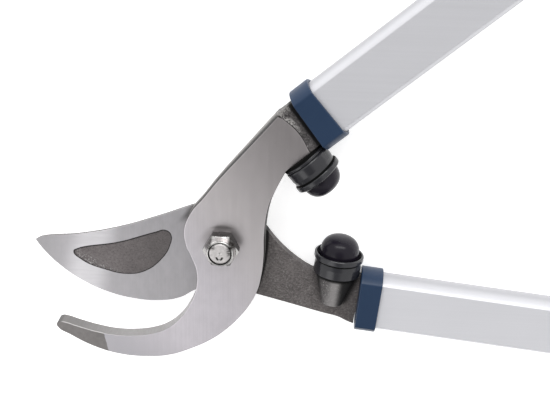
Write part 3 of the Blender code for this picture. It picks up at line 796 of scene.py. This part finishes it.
def nut_painted_reflection():
    """Bright plating, with dark painted reflections on the nut's two upper corners and painted grey
    between two highlights.
    """
    finish, colour, cloud, _ = clouded("nut_zinc_painted_reflection", tone(0.40, 1.02, 0.98),
                                       tone(0.74, 1.02, 0.98), 420)
    x, y = finish.axes()
    streak = finish.noise(finish.spot(turn=0.5, scale=(300, 1800, 300)), 1.0)
    # Painted dark reflections on the upper corners, and painted grey between the two highlights.
    dark_reflection = (finish.math("ABSOLUTE", x).between(0.0036, 0.0050)
             * y.between(0.0012, 0.0032) * x.between(-0.004, 0.004, 0.82, 1.0))
    middle = x + 0.0005
    grey_between_highlights = (middle.fall(0.0006, 0.0024) * y.between(0.0058, 0.0068)
                     * middle.between(-0.0024, -0.0006, 0.0, 0.9))
    colour = finish.layers(colour, (dark_reflection * (0.45 + streak), tone(0.022, 1.12, 0.92)),
                           (grey_between_highlights, tone(0.26, 1.03, 0.98)))
    return finished(finish, colour, 0.14, cloud)


def nut_walls_painted_dark():
    """The nut's side walls: plating painted dark as painted reflection, black as painted shade on
    the wall at the upper right.
    """
    finish, colour, cloud, mark = clouded("nut_walls_painted_reflection", tone(0.02, 1.06, 0.98),
                                          tone(0.16, 1.06, 0.98), 620, specular=0.1)
    x, y = finish.axes()
    # Painted shade: the wall at the upper right is black and not metallic.
    black_wall_shade = x.between(0.0040, 0.0052) * y.between(-0.0004, 0.0010)
    colour = finish.layers(colour, (mark * 0.35, MARK), (black_wall_shade * 0.9, tone(0.012, 1.1, 0.95)))
    finish.plug(finish.shader.inputs["Metallic"], 1 - black_wall_shade)
    return finished(finish, colour, 0.20, cloud)


def mark_groove():
    """The groove of the mark: bright at its foot and dark towards its two ends."""
    finish = Finish("mark_groove", metallic=0.5)
    x = finish.axes("X")[0]
    ends = finish.math("ABSOLUTE", x + 0.0002).between(0.0003, 0.0009)
    return finish.done(finish.blend(ends, tone(0.34), tone(0.03, 1.05, 0.95)), 0.35)


def bolt_end_painted_reflection():
    """The bolt's end: pale, with a streaky dark painted reflection on its rim's upper left and
    right.
    """
    finish, colour, cloud, _ = clouded("bolt_end_painted_reflection", tone(0.40, 1.05, 0.99),
                                       tone(0.80, 1.04, 0.99), 700, metallic=0.4)
    x, y = finish.axes()
    streak = finish.noise(finish.spot(turn=0.9, scale=(500, 2200, 400)), 1.0)
    # Painted dark reflections on the rim's upper right and upper left.
    right = x.between(0.0024, 0.0044) * y.between(-0.0026, 0.0004)
    left = x.fall(-0.0036, -0.0018) * y.between(0.0014, 0.0030)
    dark_reflection = (right + left) * streak.between(0.26, 0.58)
    return finished(finish, finish.blend(dark_reflection * 0.9, colour, tone(0.035, 1.10, 0.95)), 0.24, cloud)


ZINC = plated("bright_zinc", tone(0.46, 1.02, 0.98), tone(0.84, 1.02, 0.98), 0.12, 420, 0.65)
NUT_ZINC = nut_painted_reflection()
NUT_WALLS_SHADE = nut_walls_painted_dark()
# Nearly black painted shade for the nut's bore, the gap round the bolt's end.
DARK_GAP = plated("dark_gap_shade", tone(0.015), tone(0.03), 0.4, 600)
BOLT_END = bolt_end_painted_reflection()
MARK_GROOVE = mark_groove()
BRONZE = plated("sintered_bronze", (0.38, 0.25, 0.11, 1), (0.50, 0.34, 0.16, 1), 0.38, 500)

# %% [markdown]
# ## The hook
# The hook is one forging: jaw, arm, neck, tang, and a pad and boss for the bumper. The plate is
# drawn once round its whole outline, knot by knot, then the other shapes join it. The die leaves
# draft on the arm: its sides lean out towards the back. Leaned walls are no longer quite flat,
# so they are split into triangles, which the later cuts need.

# %% Hook plate
ARM_EDGE = 0.0110
HOOK_TOP = 0.0085

hook_outline = [
    hook_handle.sharp(0.0667, 0.0363), hook_handle.point(0.0443, 0.0325),
    hook_handle.point(0.0208, 0.0284), (-0.0101, 0.0249), (-0.0155, 0.0180), (-0.0194, 0.0080),
    (-0.0184, -0.0010), (-0.0159, -0.0069), (-0.0132, -0.0150), (-0.0135, -0.0250),
    (-0.0168, -0.0341), (-0.0225, -0.0430), (-0.0290, -0.0487), (-0.0360, -0.0519),
    (-0.0450, -0.0538), (-0.0560, -0.0542), (-0.0664, -0.0527), (-0.0771, -0.0499),
    (-0.0834, -0.0480), (-0.0860, -0.0479), (-0.0875, -0.0491), (-0.0871, -0.0511),
    (-0.0807, -0.0552),
    (-0.0676, -0.0617), (-0.0540, -0.0653), (-0.0393, -0.0659), (-0.0275, -0.0643),
    (-0.0168, -0.0601), (-0.0062, -0.0543), (0.0022, -0.0476), (0.0095, -0.0396),
    (0.0146, -0.0321), (0.0181, -0.0246), (0.0201, -0.0165), (0.0213, -0.0060),
    (0.0216, 0.0090), (0.0237, 0.0230), (0.0259, 0.0290), (0.0278, 0.0332), (0.0299, 0.0375),
    hook_handle.sharp(0.0509, ARM_EDGE),
    hook_handle.sharp(0.0667, ARM_EDGE), hook_handle.point(0.0687, 0.0229),
]
hook = plate("hook_forging", hook_outline, MEET, MEET + HOOK_TOP, rounding=0.0005)
wear(hook, HOOK_STEEL)


def add_draft(piece, middle, depth, lean, end):
    """Leans the arm's sides out towards its back, more and more from the pivot to an end."""
    for point in piece.data.vertices:
        outward = Vector((point.normal.x, point.normal.y, 0))
        along = hook_handle.measured(point.co.x, point.co.y)[0]
        share = min(1.0, max(0.0, along / end))
        if outward.length > 0.1:
            point.co += outward.normalized() * lean * share * (middle - point.co.z) / depth
    edit(piece)
    bpy.ops.mesh.quads_convert_to_tris()
    mode("OBJECT")


add_draft(hook, MEET + HOOK_TOP / 2, HOOK_TOP, 0.0012, 0.055)
print("hook plate:", len(hook.data.vertices), "points")

# %% [markdown]
# Past the ground face the forging steps down to its tang in a short slope. A side view of that
# slope is drawn and made as thick as the neck is wide.

# %% Hook neck and tang
TANG_HALF = 0.0090
TANG_DEPTH = 0.0048
neck_profile = [
    (0.0650, 0.0004), (0.0650, 0.0080), (0.0672, 0.0080), (0.0700, 0.0066), (0.0730, 0.0056),
    (0.0749, 0.0054), (0.0749, -0.0002), (0.0670, -0.0002),
]
neck = plate("hook_neck", neck_profile, -0.0365, -(ARM_EDGE + FIT), rounding=0.0006, flowing=False)
settle(neck, (pi / 2, 0, 0))
put_on(hook_handle, wear(neck, NECK_SKIN))
shape(hook, neck, "UNION")


def flat_bar(name, handle, half, low, high, start, end):
    """A bar with a flat section along a handle: the tang, or the cutter of its slot."""
    left, right = handle.offset + half, handle.offset - half
    return bar(name, [(left, low), (left, high), (right, high), (right, low)], start, end)


def tang(handle):
    """The flat bar that enters the tube."""
    made = flat_bar("tang", handle, TANG_HALF, handle.tang_low, handle.tang_low + TANG_DEPTH,
                    handle.collar - 0.0060, handle.collar + 0.0600)
    return put_on(handle, wear(made, TANG_SKIN))


shape(hook, tang(hook_handle), "UNION")
print("hook with neck and tang:", len(hook.data.vertices), "points")

# %% [markdown]
# The bumper sits on a round pad, and behind the pad a tapered boss takes its screw. Both are
# turned upright first, then laid over so that their axis points at the other handle. Before that
# they get a small turn about their own axis. Without it a boss's widest line lies exactly in the
# plate's back face, and joining the two goes wrong now and then.

# %% Pads and bosses
OFF_PLANE = radians(1.3)
HOOK_CUP_SHIFT = 0.0006


def lay_on_seat(handle, piece, depth=0.0, shift=0.0):
    """Points a turned piece at the other handle, its foot at a depth below the bumper seat."""
    settle(piece, (0, 0, OFF_PLANE))
    settle(piece, (-handle.facing * pi / 2, 0, 0),
           (BUMPER_ALONG + shift, handle.seat - handle.facing * depth, 0))
    return put_on(handle, piece)


def boss(handle, root, wide, narrow, skin):
    """The tapered boss behind a bumper, rounded at its end; its wide end sits root deep."""
    made = turned("boss", [(0, -root), (wide, -root), (narrow, -root - BOSS_REACH),
                           (0, -root - BOSS_REACH)], rounding=0.0009, steps=64)
    return lay_on_seat(handle, wear(made, skin))


def touch(piece, test):
    """Gives a piece's second finish to the faces whose middle passes a test."""
    for face in piece.data.polygons:
        face.material_index = int(test(face.center))
    return piece


pad_foot = ARM_EDGE - hook_handle.seat
pad_root = pad_foot + 0.0006
pad = turned("pad", [(0, 0), (0.0119, 0), (0.0119, -0.0011), (0.0115, -0.0015), (0.0115, -pad_root),
                     (0, -pad_root)], 0.0002)
# The pad's root next to the steel gets the nearly black painted shade.
touch(wear(pad, BLACK, SHADED), lambda place: place.z < -0.0012)
shape(hook, lay_on_seat(hook_handle, pad, shift=HOOK_CUP_SHIFT), "UNION")
shape(hook, boss(hook_handle, pad_foot, *HOOK_BOSS, HOOK_BOSS_SKIN_AND_SHADE), "UNION")
print("hook with pad and boss:", len(hook.data.vertices), "points")

# %% [markdown]
# The hole for the pivot bolt comes last. A cylinder a little wider than the bolt goes right
# through.

# %% Drill the hook


def drill(piece, radius, low=-0.01, high=0.05):
    """Drills a round hole about the pivot."""
    choose(piece)
    return shape(piece, fresh("drill", bpy.ops.mesh.primitive_cylinder_add, vertices=96,
                              radius=radius, depth=high - low, location=(0, 0, (low + high) / 2)))


drill(hook, 0.0053)
smooth(weld(hook))
hand_over(hook, "hook_jaw", "hook_side")

# %% [markdown]
# ## The blade
# The blade is a thinner forging. Its front lies flat on the hook, so its cutting edge and its
# spine are ground from behind: two wide cones, each with its axis on the arc's centre, take away
# exactly what a grinding wheel would.

# %% Blade plate
BLADE_THICK = 0.0052
BLADE_FRONT = MEET - FIT
BLADE_BACK = BLADE_FRONT - BLADE_THICK
EDGE_CENTRE = (-0.0383, 0.0363)
EDGE_RADIUS = 0.0733
shoulder = blade_handle.collar - FIT

blade_outline = [
    (-0.0986, -0.0050, "sharp"), (-0.0958, -0.0036), (-0.0749, -0.0008), (-0.0538, 0.0041),
    (-0.0329, 0.0114), (-0.0138, 0.0189), (0.0000, 0.0232), (0.0130, 0.0190),
    (0.0218, 0.0066), (0.0295, -0.0027), (0.0403, -0.0117),
    blade_handle.sharp(0.0468, -0.0100), blade_handle.sharp(shoulder, -0.0100),
    blade_handle.sharp(shoulder, -0.0374), blade_handle.point(0.0688, -0.0364),
    blade_handle.point(0.0636, -0.0346), blade_handle.point(0.0565, -0.0337),
    blade_handle.point(0.0400, -0.0312), (0.0266, -0.0326), (0.0173, -0.0303),
    (0.0020, -0.0268), (-0.0141, -0.0293),
    (-0.0231, -0.0345), *reversed(arc(EDGE_RADIUS, 219, 273, 5, EDGE_CENTRE)),
]
blade = plate("blade_forging", blade_outline, BLADE_BACK, BLADE_FRONT, rounding=0.00015)
wear(blade, BLADE_STEEL)
print("blade plate:", len(blade.data.vertices), "points")

# %% Grind the edge and the spine
EDGE_LEFT = 0.0006
SPINE_LEFT = 0.0018


def cone_at(name, centre, low_radius, high_radius, low, high, steps):
    """A wide cone about a vertical axis."""
    made = fresh(name, bpy.ops.mesh.primitive_cone_add, vertices=steps, radius1=low_radius,
                 radius2=high_radius, depth=high - low, location=(*centre, (low + high) / 2))
    return wear(settle(made, place=made.location.copy()), GROUND_EDGE)


def block(name, low, high):
    """A box between two corners."""
    made = fresh(name, bpy.ops.mesh.primitive_cube_add, size=1)
    made.scale = Vector(high) - Vector(low)
    return wear(settle(made, place=(Vector(low) + Vector(high)) / 2), GROUND_EDGE)


under = BLADE_BACK - OVERSHOOT
edge_top = BLADE_FRONT - EDGE_LEFT
slope = 0.0140 / (BLADE_THICK - EDGE_LEFT)
waste = block("edge_waste", (-0.11, -0.06, under), (-0.012, 0.04, edge_top))
rim_wheel = cone_at("edge_keep", EDGE_CENTRE, EDGE_RADIUS - slope * (edge_top - under),
                    EDGE_RADIUS, under, edge_top, 480)
shape(blade, shape(waste, rim_wheel))
spine_top = BLADE_FRONT - SPINE_LEFT
slope = 0.0075 / (BLADE_THICK - SPINE_LEFT)
wheel = cone_at("spine_wheel", (-0.1232, 0.2501), 0.2556 + slope * (spine_top - under), 0.2556,
                under, spine_top, 960)
zone = block("spine_zone", (-0.11, -0.06, under - 0.001), (-0.006, 0.04, BLADE_FRONT))
shape(blade, shape(wheel, zone, "INTERSECT"))
print("ground blade:", len(blade.data.vertices), "points")

# %% [markdown]
# The pocket is a shallow hollow left by the forging die. Its cutter is a plate with a rounded
# lower edge, so the floor meets the wall in a small fillet. A second, slightly smaller and
# deeper cutter gives the floor its own finish; it is shifted so that no walls coincide.

# %% Blade pocket
pocket_outline = [
    (-0.0789, -0.0108), (-0.0767, -0.0090), (-0.0541, -0.0040), (-0.0357, 0.0023),
    (-0.0305, 0.0037), (-0.0275, 0.0016), (-0.0280, -0.0052), (-0.0334, -0.0140),
    (-0.0414, -0.0203), (-0.0500, -0.0224), (-0.0620, -0.0206), (-0.0755, -0.0150),
]
pocket = plate("pocket", pocket_outline, BLADE_FRONT - 0.0008, BLADE_FRONT + OVERSHOOT,
               rounding=0.0005)
# The first cutter leaves the painted shade on the pocket's wall.
shape(blade, wear(pocket, POCKET_WALL_SHADE))
hollow = plate("pocket_floor", pocket_outline, BLADE_FRONT - 0.0009, BLADE_FRONT + OVERSHOOT,
               rounding=0.0005, grow=-0.0004)
shape(blade, wear(settle(hollow, place=(0, -0.0003, 0)), POCKET_SKIN))
shape(blade, tang(blade_handle), "UNION")
shape(blade, boss(blade_handle, 0, *BLADE_BOSS, BLADE_BOSS_SKIN_AND_SHADE), "UNION")
drill(blade, 0.0071)
smooth(weld(blade), 30)
hand_over(blade, "cutting_blade", "blade_side")

# %% [markdown]
# ## The pivot
# A lock nut holds the bolt: a hexagon with chamfered corners and a round crown on top. The end of
# the bolt nearly fills the crown's mouth, and it carries a dimple and a small curved mark from
# being set.

# %% Hexagon blanks
FLATS = 0.0160
CORNER = FLATS / sqrt(3)
CHAMFER = 0.0002
CHAMFER_SLOPE = 0.58


def hexagon(name, low, height, side_finish, top_finish):
    """A chamfered hexagon on the pivot."""
    turn, place = (0, 0, radians(30)), (0, 0, low + height / 2)
    made = fresh(name, bpy.ops.mesh.primitive_cylinder_add, vertices=6, radius=CORNER,
                 depth=height, rotation=turn, location=place)
    wear(settle(made, turn, place), side_finish)
    face, reach = FLATS / 2 - CHAMFER, CORNER + CHAMFER
    drop = (reach - face) * CHAMFER_SLOPE
    blank = turned(name + "_blank", [
        (0, height), (face, height), (reach, height - drop), (reach, drop), (face, 0), (0, 0)])
    settle(wear(blank, top_finish), place=(0, 0, low))
    return shape(made, blank, "INTERSECT")


NUT_BASE = MEET + HOOK_TOP + FIT
nut = hexagon("lock_nut", NUT_BASE, 0.0068, NUT_WALLS_SHADE, NUT_ZINC)
print("hexagon:", len(nut.data.vertices), "points")

# %% Nut crown and bore
CROWN_TOP = NUT_BASE + 0.0100
crown = turned("crown", [
    (0, CROWN_TOP), (0.0064, CROWN_TOP), (0.0069, CROWN_TOP - 0.0006), (0.0079, NUT_BASE + 0.0066),
    (0.0079, NUT_BASE + 0.0034), (0, NUT_BASE + 0.0034)], rounding=0.0003)
shape(nut, wear(crown, NUT_ZINC), "UNION")
bore = turned("bore", [
    (0, CROWN_TOP + OVERSHOOT), (0.0059, CROWN_TOP + OVERSHOOT), (0.0059, CROWN_TOP - 0.0010),
    (0.0053, CROWN_TOP - 0.0014), (0.0053, NUT_BASE - OVERSHOOT), (0, NUT_BASE - OVERSHOOT)])
shape(nut, wear(bore, DARK_GAP))
round_edges(weld(nut), 0.00015, 2, 30)
hand_over(smooth(nut), "pivot_nut", "hook_side")

# %% Bolt
BOLT_HEAD = 0.0064
bolt = hexagon("pivot_bolt_bright", 0.0, BOLT_HEAD, ZINC, ZINC)
shank = turned("shank", [
    (0, CROWN_TOP), (0.0048, CROWN_TOP), (0.0054, CROWN_TOP - 0.0004), (0.0054, CROWN_TOP - 0.0008),
    (0.0050, CROWN_TOP - 0.0012), (0.0050, 0.0032), (0, 0.0032)], rounding=0.0002)
shape(bolt, wear(shank, BOLT_END), "UNION")
dimple_place = (0.0001, 0.0001, CROWN_TOP + 0.0009)
dimple = fresh("dimple", bpy.ops.mesh.primitive_uv_sphere_add, segments=32, ring_count=16,
               radius=0.0012, location=dimple_place)
shape(bolt, wear(settle(dimple, place=dimple_place), ZINC))
ring = fresh("mark", bpy.ops.mesh.primitive_torus_add, major_segments=48, minor_segments=16,
             major_radius=0.0014, minor_radius=0.0005)
mark = wear(settle(ring, place=(-0.0002, -0.0018, CROWN_TOP + 0.0001)), MARK_GROOVE)
upper = block("upper_half", (-0.004, -0.0017, CROWN_TOP - 0.002), (0.004, 0.004, CROWN_TOP + 0.002))
shape(bolt, shape(mark, upper))
round_edges(weld(bolt), 0.00012, 2, 40)
hand_over(smooth(bolt), "pivot_bolt", "hook_side")

# %% [markdown]
# ## Handles
# The tube is an extrusion with two flat faces and two bulging sides. Its section is two arcs, and
# a bar drawn from it is hollowed by a smaller bar of the same section.

# %% Tube section
TUBE_FLAT = 0.0233
TUBE_HALF_DEPTH = 0.0081
TUBE_BULGE = 0.0035
TUBE_WALL = 0.0016


def tube_section(handle, grow, steps=14):
    """The tube's section, grown or shrunk, across its handle."""
    radius = (TUBE_BULGE ** 2 + TUBE_HALF_DEPTH ** 2) / (2 * TUBE_BULGE)
    reach = asin((TUBE_HALF_DEPTH + grow) / (radius + grow)) * 180 / pi
    middle = TUBE_FLAT / 2 + TUBE_BULGE - radius
    right = arc(radius + grow, -reach, reach, steps, (middle, 0))
    return [(handle.offset + sign * a, sign * b) for sign in (1, -1) for a, b in right]


HANDLE_END = 0.6100
TUBE_INSET = 0.0029


def tube(handle, finish):
    start = handle.collar + TUBE_INSET
    made = bar(handle.side + "_tube", tube_section(handle, 0), start, HANDLE_END)
    wear(round_edges(made, 0.0004, 3, 30), finish)
    hollow = bar("hollow", tube_section(handle, -TUBE_WALL), start - OVERSHOOT,
                 HANDLE_END + OVERSHOOT)
    shape(made, wear(hollow, finish))
    return smooth(put_on(handle, weld(made)))


for handle, finish in TUBE_FINISHES:
    dress(handle, tube(handle, finish), "handle_tube")

# %% [markdown]
# The collar is the same section grown by its wall. It is closed at the jaw end but for a slot
# that the tang passes through. Its jaw end is cut a little slanted.

# %% Collars
COLLAR_WALL = 0.0019
COLLAR_LENGTH = 0.0108
COLLAR_END_WALL = 0.0026


def collar(handle, slant, shift):
    start = handle.collar
    made = bar(handle.side + "_ferrule", tube_section(handle, COLLAR_WALL), start,
               start + COLLAR_LENGTH)
    for point in made.data.vertices:
        if point.co.x < start + 0.001:
            point.co.x += (point.co.y - handle.offset) * slant - shift
    wear(round_edges(made, 0.0005, 3, 30), NAVY)
    bore = bar("bore", tube_section(handle, FIT), start + COLLAR_END_WALL, start + 0.02)
    shape(made, wear(bore, NAVY))
    slot = flat_bar("slot", handle, TANG_HALF + FIT, handle.tang_low - FIT,
                    handle.tang_low + TANG_DEPTH + FIT, start - OVERSHOOT, start + 0.009)
    shape(made, wear(slot, NAVY))
    return smooth(put_on(handle, weld(made)))


for handle, slant, shift in ((hook_handle, 0.065, 0.0012), (blade_handle, -0.02, 0.0001)):
    dress(handle, collar(handle, slant, shift), "collar")

# %% [markdown]
# ## Bumpers
# The cup has a waist groove under a wider rim band, and its mouth opens a little round the dome.
# The dome is fuller than a half ball: its curve is a superellipse, which keeps the top flat and
# the shoulders wide, as a moulded buffer has them.

# %% Cups and domes
CUP = 0.0113


def cup(handle, foot, shift):
    """A cup whose groove, and foot up to a height, get the nearly black painted shade."""
    made = turned(handle.side + "_cup", [
        (0.0116, CUP), (0.0122, CUP), (0.0127, CUP - 0.0005), (0.0127, CUP - 0.0025),
        (0.0125, CUP - 0.0029), (0.0116, CUP - 0.0031), (0.0116, CUP - 0.0038),
        (0.0120, CUP - 0.0060), (0.0120, 0.0007), (0.0115, 0), (0.0022, 0), (0.0022, 0.0026),
        (0.0101, 0.0026), (0.0101, CUP - 0.0030), (0.0112, CUP - 0.0012)], 0.0002, closed=True)
    wear(made, BLACK, SHADED)
    touch(made, lambda place: place.z < foot or CUP - 0.0039 < place.z < CUP - 0.0030)
    return smooth(lay_on_seat(handle, made, -FIT, shift), 50)


def dome(handle, shift):
    radius, rise, fullness = 0.0100, 0.00915, 2.5
    base = CUP + 0.0001
    ball = [(radius * a ** (2 / fullness), base + rise * b ** (2 / fullness))
            for a, b in arc(1.0, 90, 0, 30) if a > ON_AXIS and b > ON_AXIS]
    made = turned(handle.side + "_dome", [
        (0, base + rise), *ball, (radius, CUP), (radius, 0.0029), (0.0042, 0.0029),
        (0.0042, 0.0058), (0, 0.0058)])
    return smooth(lay_on_seat(handle, wear(made, DOME), -FIT, shift), 50)


for handle, foot, shift in ((hook_handle, 0.0, HOOK_CUP_SHIFT), (blade_handle, 0.0006, 0.0)):
    dress(handle, cup(handle, foot, shift), "bumper_cup")
    dress(handle, dome(handle, shift), "bumper_rubber")

# %% [markdown]
# ## Grips
# The grips lie outside the photograph. They are the usual soft sleeves: oval, a little thinner at
# the waist, with a row of shallow rings for the fingers and a lip at each end. A round profile is
# turned and then pressed oval.

# %% Grips and caps
GRIP_START = HANDLE_END - 0.150
GRIP_HALF_WIDTH = 0.0180
GRIP_OVAL = 0.0276 / 0.0360


def grip_profile():
    """Outer line of the grip from its far end, with rings cut into it."""
    length = HANDLE_END - GRIP_START
    points = []
    for i in range(121):
        share = i / 120
        swell = 0.95 + 0.05 * cos(2 * pi * share) ** 2
        ring = 0.0
        if 0.14 < share < 0.86:
            ring = 0.0007 * max(0.0, cos(2 * pi * (share * length) / 0.0075)) ** 2
        points.append((GRIP_HALF_WIDTH * swell - ring, length * (1 - share)))
    return points


def press_oval(made, handle, start):
    """Presses a turned piece oval and lays it along its handle."""
    made.scale = (GRIP_OVAL, 1, 1)
    return settle(made, (0, pi / 2, 0), (start, handle.offset, 0))


def grip(handle):
    line = grip_profile()
    made = turned(handle.side + "_sleeve", [(0, line[0][1]), *line, (0, line[-1][1])], steps=64)
    press_oval(wear(made, GRIP), handle, GRIP_START)
    round_edges(made, 0.0012, 3, 60)
    bore = bar("bore", tube_section(handle, FIT), GRIP_START - 0.01, HANDLE_END + 0.01)
    shape(made, wear(bore, GRIP))
    return smooth(put_on(handle, weld(made)), 50)


def cap(handle):
    start = HANDLE_END + FIT
    made = turned(handle.side + "_cap", [
        (0, 0.0060), (0.0110, 0.0060), (0.0116, 0.0054), (0.0125, 0.0054), (0.0131, 0.0060),
        (0.0155, 0.0060), (0.0172, 0.0050), (0.0180, 0.0034), (0.0180, 0.0010), (0.0172, 0),
        (0, 0)], rounding=0.0004)
    press_oval(wear(made, NAVY), handle, start)
    plug = bar("plug", tube_section(handle, -0.0019), start - 0.018, start + 0.003)
    shape(made, wear(plug, NAVY), "UNION")
    return smooth(put_on(handle, weld(made)))


for handle in (hook_handle, blade_handle):
    dress(handle, grip(handle), "grip")
    dress(handle, cap(handle), "grip_cap")

# %% [markdown]
# ## CAD pieces that stay
# The inner pieces are already right as they are: packing, pins, screws, bush, ring and washer.
# They only get their finish.

# %% Finish the inner pieces
inner_finishes = {
    "hook_tang_sleeve": PACKING, "blade_tang_sleeve": PACKING, "hook_tang_pin": ZINC,
    "blade_tang_pin": ZINC, "hook_bumper_screw": ZINC, "blade_bumper_screw": ZINC,
    "pivot_washer": ZINC, "pivot_bush": BRONZE, "pivot_nut_insert": RING_PLASTIC,
}
for name, finish in inner_finishes.items():
    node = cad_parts[name]
    node.data.materials.clear()
    wear(node, finish)
print("finished:", ", ".join(sorted(inner_finishes)))

# %% [markdown]
# ## Studio
# The photograph is a bright product shot on a light table: the white tent stands all round and is
# open overhead for the camera, which leaves a darker patch that the arm and the nut reflect. Its
# near wall is dimmer, so that black rubber facing it stays black. The floor glows a little, as
# the glass of a light table does, so the background stays white.

# %% Floor
floor = fresh("studio_floor", bpy.ops.mesh.primitive_plane_add, size=8,
              location=(0.2, 0.1, -0.0002))
table_glass = Finish("light_table")
table_glass.shader.inputs["Emission Color"].default_value = (1, 1, 1, 1)
table_glass.shader.inputs["Emission Strength"].default_value = 0.55
wear(floor, table_glass.done((0.92, 0.92, 0.92, 1), 0.9))

# %% Light tent
tent_world = bpy.data.worlds.new("light_tent")
bpy.context.scene.world = tent_world
tent_world.use_nodes = True
tent = Recipe(tent_world.node_tree)
OPENING = Vector((0.0, -0.14, 1.0)).normalized()
look = tent.node("ShaderNodeTexCoord", output="Generated")
toward = tent.node("ShaderNodeVectorMath", {"operation": "DOT_PRODUCT"}, {0: look, 1: OPENING},
                   "Value")
opening = toward.between(cos(radians(31)), cos(radians(11)))
dim_wall = tent.axis(look, "Y").between(-0.85, -0.55, 0.7, 0.0)
cloth = tent_world.node_tree.nodes["Background"]
white = tent.blend(dim_wall, (1, 1, 1, 1), (0, 0, 0, 1))
tent.plug(cloth.inputs["Color"], tent.blend(opening, white, (0.25, 0.25, 0.25, 1)))
cloth.inputs["Strength"].default_value = 1.0

# %% Lamps


def softbox(name, place, target, width, height, radiance):
    """A rectangular area light aimed at a point, as bright as its face looks."""
    lamp = fresh(name, bpy.ops.object.light_add, type="AREA", location=place)
    lamp.data.shape = "RECTANGLE"
    lamp.data.size = width
    lamp.data.size_y = height
    lamp.data.energy = pi * radiance * width * height
    lamp.rotation_euler = (Vector(target) - Vector(place)).to_track_quat("-Z", "Y").to_euler()
    print(name, "at", place, round(lamp.data.energy, 1), "W")


softbox("back_softbox", (0.15, 1.45, 0.95), (0.05, 0.0, 0.0), 1.6, 0.42, 6.0)
softbox("front_softbox", (-0.75, -0.75, 1.25), (0.0, 0.0, 0.0), 0.8, 0.8, 1.0)

# %% [markdown]
# The camera stands where the photograph's did, which was worked out from the straight edges of
# the tubes. The Standard view keeps white as white.

# %% Camera
bpy.ops.object.camera_add(location=(0.06091, 0.23316, 0.54646),
                          rotation=(radians(-21.728), radians(4.2105), radians(1.1170)))
camera = bpy.context.object
camera.data.lens = 74.45
camera.data.sensor_width = 36
camera.data.clip_start = 0.01
bpy.context.scene.camera = camera
bpy.context.scene.view_settings.view_transform = "Standard"
print("camera", round(camera.location.length, 3), "m from the pivot")
